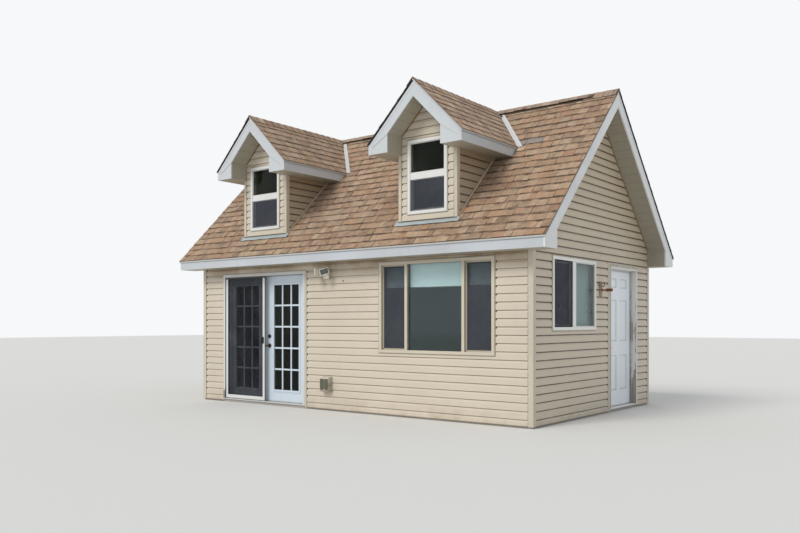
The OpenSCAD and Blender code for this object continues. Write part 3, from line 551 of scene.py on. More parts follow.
@dataclass(frozen=True)
class SidingFinish(Finish):
    """Vinyl siding: painted shadow lines in the laps, stronger on the gables, and along the wall's foot;
    painted shade on the dormer cheeks; mud splash at the foot; mildew with painted shade under the eaves;
    weathered gables.
    """

    shadow_line_colour: Triple = (0.095, 0.060, 0.032)
    lap_shadow_depth: Span = (0.42, 0.7)
    lap_shadow_start: Span = (0.895, 0.92)
    lip_shadow: Span = (0.035, 0.0)
    lip_shadow_depth: float = 0.35
    sideways: float = 0.6
    gable_shadow_more: float = 0.42
    gable_shadow_wide: float = 0.062
    cheeks_x: float = 2.8
    cheek_z: Span = (2.75, 3.55)
    cheek_shade_depth: Span = (0.36, 0.74)
    mildew_and_shade: Triple = (0.27, 0.175, 0.08)
    eave_band_z: Span = (1.93, 2.12)
    eave_band_top: float = 2.14
    weathered: Triple = (0.85, 0.81, 0.71)
    weathered_z: Span = (1.6, 2.9)
    weathered_depth: Span = (0.22, 1.0)
    plate_x: float = -0.2785
    plate_z: float = 1.957
    halo: Span = (0.15, 0.07)
    front_y: float = -1.8
    mud: Triple = (0.34, 0.28, 0.20)
    mud_z: Span = (0.24, 0.0)
    foot_z: Span = (0.034, 0.018)

    def colour(self, graph: Graph, effects: Effects) -> Socket:
        """Grimy vinyl with each lap's shadow line painted in as shade."""
        x, _, z = graph.where()
        share = Value(graph, graph.node("ShaderNodeAttribute", attribute_name="tone").outputs["Alpha"])
        gable = abs(graph.facing()[0]) > self.sideways
        # Painted shadow under each course's butt, deeper and wider on the sideways gables, which lie in
        # shade.
        depth = (graph.clouds(3.0, 3, self.lap_shadow_depth) + gable * self.gable_shadow_more).held()
        lap = graph.span(share + gable * self.gable_shadow_wide, self.lap_shadow_start) * depth
        cheek = gable * (abs(x) < self.cheeks_x)
        upper = (gable * graph.span(z, self.weathered_z, self.weathered_depth) - cheek).held()
        # Mildew towards the eaves of the front and rear walls, with painted shade there.
        mildew_and_shade = graph.span(z, self.eave_band_z) * graph.clouds(2.6, 5, (0.1, 0.75), (0.36, 0.62))
        eave = (1.0 - gable) * (z < self.eave_band_top)
        splash = graph.span(z, self.mud_z) * graph.clouds(5.0, 5, (0.0, 0.5), (0.38, 0.68))
        plain = super().colour(graph, effects)
        # Painted shade on the dormer cheeks, deepening upwards under their eaves.
        plain = graph.mix(cheek * graph.span(z, self.cheek_z, self.cheek_shade_depth), plain, self.mildew_and_shade)
        plain = graph.mix(upper, plain, graph.mix(1.0, plain, self.weathered, "MULTIPLY"))
        # The lap lines, the foot of each course and the line at the wall's foot are painted shadow; the eave
        # band is mildew with painted shade.
        for mask, mark_colour in (
            (self._halo(graph), self.mildew_and_shade),
            (lap, self.shadow_line_colour),
            (graph.span(share, self.lip_shadow) * self.lip_shadow_depth, self.shadow_line_colour),
            (mildew_and_shade * eave, self.mildew_and_shade),
            (splash, self.mud),
            (graph.span(z, self.foot_z, (0.0, 0.8)), self.shadow_line_colour),
        ):
            plain = graph.mix(mask, plain, mark_colour)
        return plain

    def _halo(self, graph: Graph) -> Value:
        """Browner and darker round the floodlight's plate."""
        x, y, z = graph.where()
        off = x - self.plate_x
        up = z - self.plate_z
        near = graph.span(graph.math("SQRT", off * off + up * up), self.halo, (0.0, 0.6))
        return near * graph.clouds(9.0, 4, (0.3, 1.0), (0.35, 0.6)) * (y < self.front_y)


@dataclass(frozen=True)
class ShingleFinish(Finish):
    """Laminated shingle: mineral granules in blends of tan, brown, rose and grey, with painted shade at the
    butts and the upright ends.
    """

    dark: Triple = (0.215, 0.135, 0.085)
    light: Triple = (0.53, 0.385, 0.265)
    rose: Triple = (0.42, 0.22, 0.12)
    rose_share: float = 0.55
    grey: Triple = (0.28, 0.26, 0.25)
    band_and_shade: Triple = (0.075, 0.044, 0.029)
    butt: float = 0.0115
    band: Span = (0.615, 0.685)
    blotches: float = 1.3
    granules: Span = (0.72, 1.26)
    upright: float = 0.15
    end_shade: float = 0.85

    def colour(self, graph: Graph, effects: Effects) -> Socket:
        """Per-piece blend from the attribute "tone", broken up by granules and weather."""
        tone = graph.node("ShaderNodeAttribute", attribute_name="tone").outputs
        parts = graph.give(graph.node("ShaderNodeSeparateColor"), {0: tone["Color"]})
        level, rose, grey = (Value(graph, part) for part in parts)
        blotched = (level + (graph.noise(14.0, 5) - 0.5) * self.blotches).held()
        blend = graph.mix(blotched, self.dark, self.light)
        blend = graph.mix(rose * self.rose_share, blend, self.rose)
        blend = graph.mix(grey, blend, self.grey)
        blend = graph.shaded(blend, graph.clouds(420.0, 2, self.granules, (0.36, 0.64)))
        run = Value(graph, tone["Alpha"])
        ragged = graph.noise(8.0, 4)
        # Painted shade: the butt faces and upright ends are darkened as if in shade, and the printed shadow
        # band above each butt is deepened by painted shadow.
        edge = (run < self.butt) * graph.span(ragged, (0.38, 0.60), (0.45, 0.9))
        reach = run + graph.clouds(40.0, 3, (-0.03, 0.03))
        under = graph.span(reach, self.band) * graph.span(ragged, (0.36, 0.60), (0.3, 0.95))
        end = (abs(graph.facing()[2]) < self.upright) * self.end_shade
        blend = graph.mix(edge | under | end, blend, self.band_and_shade)
        return self.grimy(graph, effects, blend, 0.8)


@dataclass(frozen=True)
class PeelingFinish(Finish):
    """Old paint on wood that peels in upright flakes to grey weathered grain."""

    wood: Triple = (0.20, 0.185, 0.165)
    metal: Triple = (0.60, 0.61, 0.60)
    sill_z: float = 0.0545
    kept: float = 0.9
    flake_edge: Span = (0.0, 0.025)

    def share(self, graph: Graph) -> Value:
        """How much of the paint is gone, over the surface."""
        return graph.span(graph.where()[2], (0.0, 2.2), (0.5, 0.2))

    def colour(self, graph: Graph, effects: Effects) -> Socket:
        """Paint, bare wood where it has peeled, and a metal sill."""
        wood = graph.shaded(self.wood, graph.clouds(30.0, 6, (0.6, 1.25), stretch=(1, 1, 0.06)))
        flakes = graph.noise(13.0, 7, (1, 1, 0.12), 0.65)
        gone = graph.span(flakes + self.share(graph) - self.kept, self.flake_edge)
        worn = graph.mix(gone, super().colour(graph, effects), wood)
        return graph.mix(graph.where()[2] < self.sill_z, worn, self.metal)


@dataclass(frozen=True)
class CasingFinish(PeelingFinish):
    """French door casing: sound paint, gone to grey-blue rot at the foot of its left side."""

    left_x: float = -2.505
    rot_z: Span = (0.55, 0.06)

    def share(self, graph: Graph) -> Value:
        """Rot at the left foot alone."""
        x, _, z = graph.where()
        return (x < self.left_x) * graph.span(z, self.rot_z, (0.0, 0.66))


@dataclass(frozen=True)
class JambFinish(PeelingFinish):
    """Side door frame: tan outer casing, and an inner face of the rear jamb that has weathered most."""

    tan: Triple = (0.42, 0.34, 0.25)
    front_y: float = 0.402
    rear_y: float = 1.33
    head_z: float = 2.064
    inner_z: Span = (1.9, 0.1)
    foot_z: Span = (0.5, 0.05)

    def share(self, graph: Graph) -> Value:
        """Strong on the rear jamb's inner face, slight elsewhere near the foot."""
        _, y, z = graph.where()
        inner = (y > self.rear_y) * (graph.facing()[1] < -0.5)
        return inner * graph.span(z, self.inner_z, (0.34, 0.46)) + graph.span(z, self.foot_z, (0.0, 0.18))

    def colour(self, graph: Graph, effects: Effects) -> Socket:
        """Peeling white with the casing's outer edge tan at the front side and over the head."""
        _, y, z = graph.where()
        outer = (y < self.front_y) * (z > self.sill_z) | (z > self.head_z)
        worn = graph.clouds(20.0, 4, (0.6, 0.95), (0.35, 0.65), (1, 1, 0.3))
        return graph.mix(outer * worn, super().colour(graph, effects), self.tan)


@dataclass(frozen=True)
class FrameFinish(Finish):
    """Window frame, its parts behind the glass painted dark as shade."""

    inner: Triple = (0.15, 0.16, 0.16)
    inner_shade_y: float = -1.846
    inner_shade_x: float = 3.028
    gable_x: float = 2.8
    dormer_z: float = 2.3

    def colour(self, graph: Graph, effects: Effects) -> Socket:
        """Vinyl, with painted shade where it lies behind the glass."""
        x, y, z = graph.where()
        front = x < self.gable_x
        behind = front * (y > self.inner_shade_y) | (1.0 - front) * (x < self.inner_shade_x)
        return graph.mix((z < self.dormer_z) * behind, super().colour(graph, effects), self.inner)


@dataclass(frozen=True)
class FlashingFinish(Finish):
    """Sheet metal of the dormers, by height: grey apron, tan cheek strips, white valleys."""

    tan: Triple = (0.72, 0.60, 0.46)
    white: Triple = (0.60, 0.61, 0.63)
    cheek_z: float = 2.645
    valley_z: float = 3.58

    def colour(self, graph: Graph, effects: Effects) -> Socket:
        """Grey, tan or white metal."""
        height = graph.where()[2]
        cheek = graph.mix(height > self.cheek_z, super().colour(graph, effects), self.tan)
        return graph.mix(height > self.valley_z, cheek, self.white)


@dataclass(frozen=True)
class ScreenFrameFinish(Finish):
    """Sliding screen frame: pale paint, painted shade along the top rail, and its faces towards +X dark as
    the pile strip with painted shade.
    """

    pile_and_shade: Triple = (0.035, 0.035, 0.036)
    top_z: float = 1.962
    edge_facing: float = 0.7

    def colour(self, graph: Graph, effects: Effects) -> Socket:
        """Pale paint, with painted shade on its top rail and on its faces towards +X."""
        facing_x = graph.split(graph.node("ShaderNodeTexCoord").outputs["Normal"])[0]
        dark = (facing_x > self.edge_facing) | (graph.where()[2] > self.top_z)
        return graph.mix(dark, super().colour(graph, effects), self.pile_and_shade)


@dataclass(frozen=True)
class SocketFinish(Finish):
    """Weathered outdoor socket: cream block, cover browner and darker towards its foot, dark lids on its
    front.
    """

    lid: Triple = (0.095, 0.10, 0.068)
    mark_colour: Triple = (0.25, 0.17, 0.14)
    mark_z: Span = (0.47, 0.36)
    block_y: float = -1.892
    lid_y: float = -1.9585

    def colour(self, graph: Graph, effects: Effects) -> Socket:
        """Darker towards the front."""
        _, y, z = graph.where()
        cover = (y < self.block_y) * graph.span(z, self.mark_z)
        marked = cover * graph.clouds(18.0, 4, (0.35, 0.9), (0.35, 0.65))
        worn = graph.mix(marked, super().colour(graph, effects), self.mark_colour)
        return graph.mix(y < self.lid_y, worn, self.lid)


@dataclass(frozen=True)
class RibbedFinish(Finish):
    """Soffit panels: fine grooves across the overhang drawn as dark lines of painted shade, and painted shade
    over the rear half of the gables.
    """

    pitch: float = 0.1
    line: float = 0.045
    gable_x: float = 3.05
    groove_shade: Triple = (0.16, 0.14, 0.11)
    line_depth: float = 0.55
    rear_shade: float = 0.28

    def colour(self, graph: Graph, effects: Effects) -> Socket:
        """Plain colour with painted shade in the grooves and over the rear half of the gables."""
        x, y, _ = graph.where()
        gable = abs(x) > self.gable_x
        along = graph.math("DIVIDE", x + gable * (y - x), self.pitch)
        groove_shade = graph.math("FRACT", along) < self.line
        rear_shaded = graph.mix(gable * (y > 0.0) * self.rear_shade, super().colour(graph, effects), self.groove_shade)
        return graph.mix(groove_shade * self.line_depth, rear_shaded, self.groove_shade)


@dataclass(frozen=True)
class ClothFinish(Finish):
    """Thin pale cloth: fine weave, and daylight that fades it unevenly."""

    weave: float = 900.0
    threads: Span = (0.9, 1.06)

    def colour(self, graph: Graph, effects: Effects) -> Socket:
        """Faded cloth with its weave."""
        threads = graph.clouds(self.weave, 1, self.threads, stretch=(1, 1, 0.3))
        return graph.shaded(super().colour(graph, effects), threads)


@dataclass(frozen=True)
class DeckFinish(Finish):
    """Roof deck: felt above, boards underneath, a pale metal rim, painted dark as shade on the dormers' left
    slopes and the gables' rear halves.
    """

    rim: Triple = (0.50, 0.50, 0.49)
    shaded_rim: Triple = (0.018, 0.017, 0.016)
    under: Triple = (0.05, 0.04, 0.032)
    dormer_z: float = 2.9
    dormer_xs: Span = (-1.635, 1.470)
    flat: float = 0.2
    upright: float = 0.7

    def colour(self, graph: Graph, effects: Effects) -> Socket:
        """Colour by the way that a face looks, with painted shade on the rims seen in shade."""
        x, y, z = graph.where()
        facing_x, facing_y, facing_z = graph.facing()
        left, right = self.dormer_xs
        left_slopes = (x < left) + (x > 0.0) * (x < right)
        front = left_slopes * (facing_y < -self.upright) * (z > self.dormer_z)
        rear = (abs(facing_x) > self.upright) * (y > 0.0)
        rim = graph.mix(front | rear, self.rim, self.shaded_rim)
        above = graph.mix(abs(facing_z) < self.flat, super().colour(graph, effects), rim)
        return graph.mix(facing_z < -self.flat, above, self.under)


@dataclass(frozen=True)
class RustyArmFinish(Finish):
    """Cream paint on the wall plate, rust on what stands out from it."""

    rust: Triple = (0.27, 0.10, 0.035)
    pits: Triple = (0.06, 0.022, 0.01)
    start_x: Span = (3.078, 3.084)

    def colour(self, graph: Graph, effects: Effects) -> Socket:
        """Rust past the plate, with a ragged edge."""
        out = graph.where()[0] + graph.clouds(40.0, 4, (-0.006, 0.006))
        pitted = graph.mix(graph.clouds(90.0, 4, source=(0.4, 0.65)), self.rust, self.pits)
        return graph.mix(graph.span(out, self.start_x), super().colour(graph, effects), pitted)


@dataclass(frozen=True)
class GlassFinish:
    """Window glass: clear and tinted, with a film of dust; some panes are tinted dark as painted shade."""

    name: str
    tint: Triple = (0.82, 0.9, 0.88)
    rough: float = 0.02
    specular: float = 0.5
    dust: Triple = (0.5, 0.5, 0.46)
    film: float = 0.06
    ior: float = 1.45
    gloss: Triple = (1.0, 1.0, 1.0)

    def material(self, effects: Effects) -> Material:
        """Build the material: transmission with faint dust in its roughness."""
        made, graph, shader = start_material(self.name)
        graph.give(shader, {
            "Base Color": graph.group(
                effects.grime, Color=self.tint, Dirt=self.dust, Amount=self.film, Scale=2.0
            ),
            "Roughness": graph.clouds(3.0, 4, (self.rough, self.rough * 3)),
            "Transmission Weight": 1.0,
            "IOR": self.ior,
            "Specular Tint": self.gloss,
            "Specular IOR Level": self.specular,
        })
        return made


@dataclass(frozen=True)
class MeshFinish:
    """Insect mesh: dark woven strands that let part of the light through."""

    name: str
    strand: Triple = (0.035, 0.037, 0.042)
    dust: Triple = (0.2, 0.2, 0.2)
    dust_amount: float = 0.4
    cover: float = 0.6
    uneven: float = 0.05

    def material(self, effects: Effects) -> Material:
        """Build the material: an even cover with faint uneven stretch and dust."""
        made, graph, shader = start_material(self.name)
        graph.give(shader, {
            "Base Color": graph.group(
                effects.grime, Color=self.strand, Dirt=self.dust, Amount=self.dust_amount, Scale=3.0
            ),
            "Roughness": 0.8,
            "Specular IOR Level": 0.1,
            "Alpha": graph.clouds(4.0, 3, (self.cover - self.uneven, self.cover + self.uneven)),
        })
        return made


class Look(Enum):
    """The finishes of the house, by name."""

    SIDING = SidingFinish("almond_siding", (0.645, 0.57, 0.465), rough=0.42, dirt_amount=0.22, relief=0.12)
    POST = Finish(
        "almond_post", (0.60, 0.545, 0.44), rough=0.42, dirt_amount=0.3, crease_dirt_and_shade=0.5, crease_shade_reach=0.012,
    )
    # Painted light: one white coil in three brightnesses, darker as if in shade on the eave fascias, lighter
    # as if lit on the dormer trims and most on the rake boards.
    WHITE = Finish("shaded_white_coil", (0.53, 0.56, 0.60), rough=0.35, dirt_amount=0.22, dirt_scale=2.0, wave=4.0)
    LIT_DORMER_WHITE = Finish("lit_white_dormer_coil", (0.585, 0.615, 0.645), rough=0.35, dirt_amount=0.22, wave=4.0)
    RAKE = Finish("lit_white_rake", (0.77, 0.78, 0.79), rough=0.35, dirt_amount=0.25, dirt_scale=2.0, wave=4.0)
    SOFFIT = RibbedFinish("cream_soffit", (0.45, 0.42, 0.335), rough=0.5, dirt_amount=0.45)
    SHINGLE = ShingleFinish(
        "shingle_blend", (0.4, 0.3, 0.2), rough=0.95, dirt=(0.09, 0.075, 0.065), dirt_amount=0.35,
        specular=0.2, relief=0.6, relief_scale=300.0, wave=40.0, sheen=0.1,
    )
    DECK = DeckFinish("roof_deck", (0.035, 0.03, 0.028), rough=0.9, dirt=(0.12, 0.09, 0.06), relief=0.4)
    ALMOND = FrameFinish("almond_vinyl", (0.62, 0.56, 0.45), rough=0.4, dirt_amount=0.3, crease_dirt_and_shade=0.6)
    VINYL = FrameFinish("white_vinyl", (0.76, 0.76, 0.75), rough=0.35, dirt_amount=0.25, crease_dirt_and_shade=0.5)
    # Painted light: the side window's white vinyl is lighter than the other frames, as if lit.
    LIT_SIDE_VINYL = FrameFinish("lit_side_window_vinyl", (0.84, 0.84, 0.81), rough=0.35, dirt_amount=0.2, crease_dirt_and_shade=0.4)
    DOOR = Finish(
        "french_door_paint", (0.62, 0.70, 0.79), rough=0.4, dirt_amount=0.14, relief=0.06, crease_dirt_and_shade=0.35,
    )
    SIDE_DOOR = Finish(
        "side_door_paint", (0.85, 0.89, 0.95), rough=0.45, dirt_amount=0.14, relief=0.06, crease_dirt_and_shade=0.7,
    )
    JAMB = JambFinish(
        "peeling_paint", (0.76, 0.76, 0.74), rough=0.6, dirt_amount=0.35, wood=(0.34, 0.32, 0.29),
        metal=(0.80, 0.80, 0.78), crease_dirt_and_shade=0.5,
    )
    CASING = CasingFinish(
        "worn_casing", (0.66, 0.67, 0.65), rough=0.5, dirt_amount=0.3, wood=(0.17, 0.19, 0.20), crease_dirt_and_shade=0.5,
    )
    SCREEN = ScreenFrameFinish("screen_frame_paint", (0.72, 0.72, 0.70), rough=0.4, dirt_amount=0.25)
    DARK_FRAME = Finish(
        "dark_screen_frame", (0.015, 0.015, 0.018), rough=0.7, dirt=(0.05, 0.045, 0.04), specular=0.1,
    )
    SHADOW = Finish("channel_shadow", (0.085, 0.066, 0.045), rough=0.9, dirt_amount=0.2)
    TAR = Finish("tar_patch", (0.02, 0.02, 0.022), rough=0.6, dirt_amount=0.3, relief=0.5)
    STRIP = Finish("tan_strip", (0.25, 0.165, 0.085), rough=0.5, dirt=(0.08, 0.05, 0.03), dirt_amount=0.6)
    SHEET = FlashingFinish("dormer_metal", (0.40, 0.455, 0.48), rough=0.45, dirt_amount=0.4, relief=0.2)
    VALLEY = Finish("valley_metal", (0.60, 0.61, 0.63), rough=0.45, dirt_amount=0.4, relief=0.2)
    BRONZE = Finish("dark_bronze", (0.05, 0.045, 0.04), rough=0.35, metallic=0.8, dirt_amount=0.3)
    BRASS = Finish("worn_brass", (0.50, 0.40, 0.22), rough=0.3, metallic=0.9, dirt_amount=0.4)
    SCREEN_GREY = Finish("grey_screen_frame", (0.23, 0.24, 0.25), rough=0.5, dirt_amount=0.3)
    ARM = RustyArmFinish(
        "lamp_remains", (0.36, 0.285, 0.185), rough=0.7, dirt_amount=0.6, relief=0.5, crease_dirt_and_shade=0.9,
    )
    FLOOD = Finish("flood_paint", (0.74, 0.72, 0.64), rough=0.45, dirt_amount=0.4, crease_dirt_and_shade=0.8)
    LENS = Finish("lamp_lens", (0.06, 0.065, 0.06), rough=0.12, dirt=(0.3, 0.3, 0.26), dirt_amount=0.5)
    SOCKET = SocketFinish("socket_plastic", (0.60, 0.57, 0.47), rough=0.6, dirt_amount=0.4, crease_dirt_and_shade=0.7)
    CONCRETE = Finish("concrete", (0.42, 0.40, 0.37), rough=0.9, dirt_amount=0.6, relief=0.5)
    BOARD = Finish("wallboard", (0.36, 0.35, 0.33), rough=0.85, dirt_amount=0.25)
    TIMBER = Finish("loft_timber", (0.40, 0.29, 0.18), rough=0.75, dirt_amount=0.4)
    BLIND = ClothFinish("pale_blind", (0.80, 0.98, 1.0), rough=0.9)
    CURTAIN = ClothFinish("pale_curtain", (0.27, 0.34, 0.345), rough=0.9)
    WINDOW_GLASS = GlassFinish("window_glass_clear", tint=(0.93, 1.0, 1.0), ior=1.5, gloss=(0.78, 0.96, 1.0))
    SIDE_GLASS = GlassFinish("side_glass_clear", tint=(0.90, 0.98, 0.98), rough=0.1, specular=0.3, ior=1.18)
    # Painted shade: the dormer and door panes are tinted dark to stand for the dark rooms behind them and the
    # dark reflections on them.
    DORMER_GLASS = GlassFinish("dormer_glass_shade_tinted", tint=(0.55, 0.6, 0.5), specular=0.3, ior=1.18)
    DOOR_GLASS = GlassFinish("door_glass_shade_tinted", tint=(0.25, 0.27, 0.2), specular=0.3, ior=1.24)
    MESH = MeshFinish("insect_mesh", strand=(0.015, 0.016, 0.022), cover=0.49)
    FINE_MESH = MeshFinish("fine_insect_mesh", strand=(0.078, 0.086, 0.108), cover=0.42)


class Paint:
    """Builds each look's material once and hands it out."""

    def __init__(self) -> None:
        """Build the shared effects."""
        self.effects = Effects(grime_group(), relief_group())
        self.made: dict[Look, Material] = {}

    def dress(self, obj: Object, look: Look) -> None:
        """Give an object the material of a look and no other."""
        if look not in self.made:
            self.made[look] = look.value.material(self.effects)
        obj.data.materials.clear()
        obj.data.materials.append(self.made[look])

    def finish(
        self, obj: Object, look: Look, slot: str, replaces: Sequence[str] = (), body: str = HOUSE
    ) -> None:
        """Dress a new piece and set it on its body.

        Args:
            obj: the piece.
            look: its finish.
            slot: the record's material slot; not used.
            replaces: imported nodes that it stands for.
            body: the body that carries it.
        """
        self.dress(obj, look)
        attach(obj, body)
        if replaces:
            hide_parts(*replaces)
        LOG.info("piece %s on %s: %d faces", obj.name, body, len(obj.data.polygons))


@dataclass(frozen=True)
class Planes:
    """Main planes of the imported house."""

    half_x: float
    half_y: float
    wall_x: float
    wall_y: float
    eave_y: float
    rake_x: float
    lip_x: float
    soffit_z: float
    ridge_z: float
    under_z: float
    return_in: float = 0.058
    post: float = 0.068
    drip: float = 0.012

    @classmethod
    def from_frame(cls) -> Planes:
        """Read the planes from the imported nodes."""
        post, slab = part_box("corner_posts")[1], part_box("floor_slab")[1]
        roof, rake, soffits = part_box("roof_rear")[1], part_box("rake_trims")[1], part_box("soffits")
        return cls(
            half_x=post.x, half_y=post.y, wall_x=slab.x, wall_y=slab.y, eave_y=rake.y, rake_x=rake.x,
            lip_x=roof.x, soffit_z=soffits[0].z, ridge_z=roof.z, under_z=soffits[1].z,
        )

    @property
    def return_y(self) -> float:
        """Half width between the boxed returns of a gable."""
        return self.half_y - self.return_in

    @property
    def edge_y(self) -> float:
        """Where the shingles end past the eaves."""
        return self.eave_y + self.drip

    @property
    def ends(self) -> list[Cut]:
        """Planes that trim shingles and caps at the two rakes."""
        return [((sign * (self.lip_x - RIM), 0, 0), (sign, 0, 0)) for sign in (-1, 1)]


@dataclass(frozen=True)
class Dormer:
    """Main planes of one packed dormer."""

    side: str
    centre: float
    frame_y: float
    half: float
    rake_y: float
    span: float
    top_z: float
    soffit_z: float
    under_z: float
    return_in: float = 0.05

    @classmethod
    def from_frame(cls, side: str, planes: Planes) -> Dormer:
        """Read a dormer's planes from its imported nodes."""
        front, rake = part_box(f"{side}_dormer_front"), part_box(f"{side}_dormer_trim")
        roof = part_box(f"{side}_dormer_roof")
        clad = planes.half_x - planes.wall_x
        return cls(
            side=side, centre=(front[0].x + front[1].x) / 2, frame_y=front[0].y,
            half=(front[1].x - front[0].x) / 2 + clad, rake_y=rake[0].y,
            span=(rake[1].x - rake[0].x) / 2, top_z=roof[1].z, soffit_z=rake[0].z, under_z=front[1].z,
        )


class Facing(Enum):
    """Which way a wall faces, with the turn that takes the front wall there."""

    FRONT = 0.0
    RIGHT = 90.0
    REAR = 180.0
    LEFT = -90.0

    def place(self, out: float) -> Matrix:
        """Where a wall drawn in the XZ plane, facing -Y, goes, its face that far out from the middle."""
        turn = Matrix.Rotation(math.radians(self.value), 4, "Z")
        return turn @ Matrix.Translation((0.0, -out, 0.0))


@dataclass
class Run:
    """One stretch of wall to clad, drawn in the XZ plane and facing -Y.

    Its holes are (left, right, bottom, top), what lies beyond its cuts is taken off, and its datum is
    the height of a butt line.
    """

    name: str
    along: Span
    heights: Span
    place: Matrix
    holes: Sequence[Rect] = ()
    cuts: Sequence[Cut] = ()
    datum: float = 0.0


@dataclass
class Siding:
    """Dutch-lap vinyl siding: a flat face that coves in under the next course."""

    paint: Paint
    course: float = 0.1016
    butt: float = 0.0135
    face_top: float = 0.070
    cove: tuple[Span, ...] = ((0.0125, 0.070), (0.0068, 0.077), (0.0040, 0.087))
    top_out: float = 0.0032
    foot: float = 0.015
    gap: float = 0.007
    notch_w: float = 0.015
    notch_out: float = 0.0085
    notch_rise: float = 0.008
    cutter: float = 0.1
    master: Object = field(init=False)

    def __post_init__(self) -> None:
        """Model one metre of one course."""
        self.master = block("course_master", (0.0, -self.butt, 0.0), (1.0, 0.0, self.course))
        for _, height in self.cove:
            bisect(self.master, (0, 0, height), (0, 0, 1), clear=False)
        for out, height in [*self.cove, (self.top_out, self.course)]:
            shift(
                self.master,
                lambda co, h=height: abs(co.z - h) < HAIR and co.y < -HAIR,
                (0.0, self.butt - out, 0.0),
            )

    def clad(self, run: Run, hand: int = 1, top: float | None = None, joint: float = 0.004) -> None:
        """Clad a stretch of wall and set painted shadow in the hollow ends of its courses.

        Args:
            run: the stretch.
            hand: which ends are seen, 1 those at the left of each stretch and -1 those at the right.
            top: height up to which the outer ends are seen, by default the stretch's own.
            joint: depth of the strip of painted shadow in the gap beside the courses, or 0.
        """
        self.wall(run)
        side = 0 if hand > 0 else 1
        low, high = run.heights
        edges = [(run.along[side], low, top or high)]
        edges += [(hole[1 - side], max(hole[2], low), min(hole[3], high)) for hole in run.holes]
        wide = self.notch_w if joint else self.notch_w / 2
        start = self.face_top + self.notch_rise
        master = block("notch_master", (0, -self.notch_out, start), (wide, 0, self.course))
        spots: list[Matrix] = []
        for at, foot, head in edges:
            first = math.ceil((foot - run.datum) / self.course)
            last = math.floor((head - run.datum) / self.course)
            for n in range(first, last):
                spots.append(Matrix.Translation((at - side * wide, 0, run.datum + n * self.course)))
        parts = [stamp("notches", master, spots)]
        discard(master)
        for at, foot, head in edges if joint else ():
            beside = at - hand * self.gap
            parts.append(block("joint", (min(at, beside), -joint, foot), (max(at, beside), 0, head)))
        made = join(f"{run.name}_notches", parts)
        made.data.transform(run.place)
        self.paint.finish(made, Look.SHADOW, "siding")

    def wall(self, run: Run) -> None:
        """Clad a stretch of wall."""
        start, end = run.along
        low, high = run.heights
        first = math.floor((low - run.datum) / self.course)
        last = math.ceil((high - run.datum) / self.course)
        length = Matrix.Diagonal((end - start, 1.0, 1.0, 1.0))
        spots = [
            Matrix.Translation((start, 0.0, run.datum + n * self.course)) @ length for n in range(first, last)
        ]
        made = stamp(run.name, self.master, spots, [(0.5, 0.5, 0.5)] * len(spots), axis=2)
        trim(made, (((0, 0, low), (0, 0, -1)), ((0, 0, high), (0, 0, 1)), *run.cuts))
        carve(made, [((a, -self.cutter, c), (b, self.cutter, d)) for a, b, c, d in run.holes])
        made.data.transform(run.place)
        self.paint.finish(made, Look.SIDING, "siding")


@dataclass
class Channels:
    """Thin almond channels that the siding tucks into round openings."""

    paint: Paint
    width: float = 0.010
    proud: float = 0.0165
    gap: float = 0.004
    window_z: float = 0.2
    door_foot: float = 0.015
    below: float = -0.1

    def frame(self, name: str, rect: Rect, place: Matrix, widths: Triple = (0.010, 0.010, 0.010)) -> Rect:
        """Set channels at both sides, the head and, under a window, the foot of an opening.

        Args:
            name: what the opening is.
            rect: the opening as (left, right, bottom, top).
            place: the wall's place.
            widths: face widths at the left, the right and the head.

        Returns:
            The hole that they leave in the siding.
        """
        low, high, foot, top = rect
        left, right, head = widths
        is_window = foot > self.window_z
        start = foot - self.width if is_window else self.door_foot
        bars = [
            (low - left, low, start, top + head),
            (high, high + right, start, top + head),
            (low, high, top, top + head),
        ]
        if is_window:
            bars.append((low, high, foot - self.width, foot))
        parts = [block("bar", (a, -self.proud, c), (b, 0.0, d), SOFT_EDGE) for a, b, c, d in bars]
        made = join(f"{name}_channel", parts)
        made.data.transform(place)
        self.paint.finish(made, Look.POST, "siding")
        under = foot - self.width - self.gap if is_window else self.below
        return (low - left - self.gap, high + right + self.gap, under, top + head + self.gap)


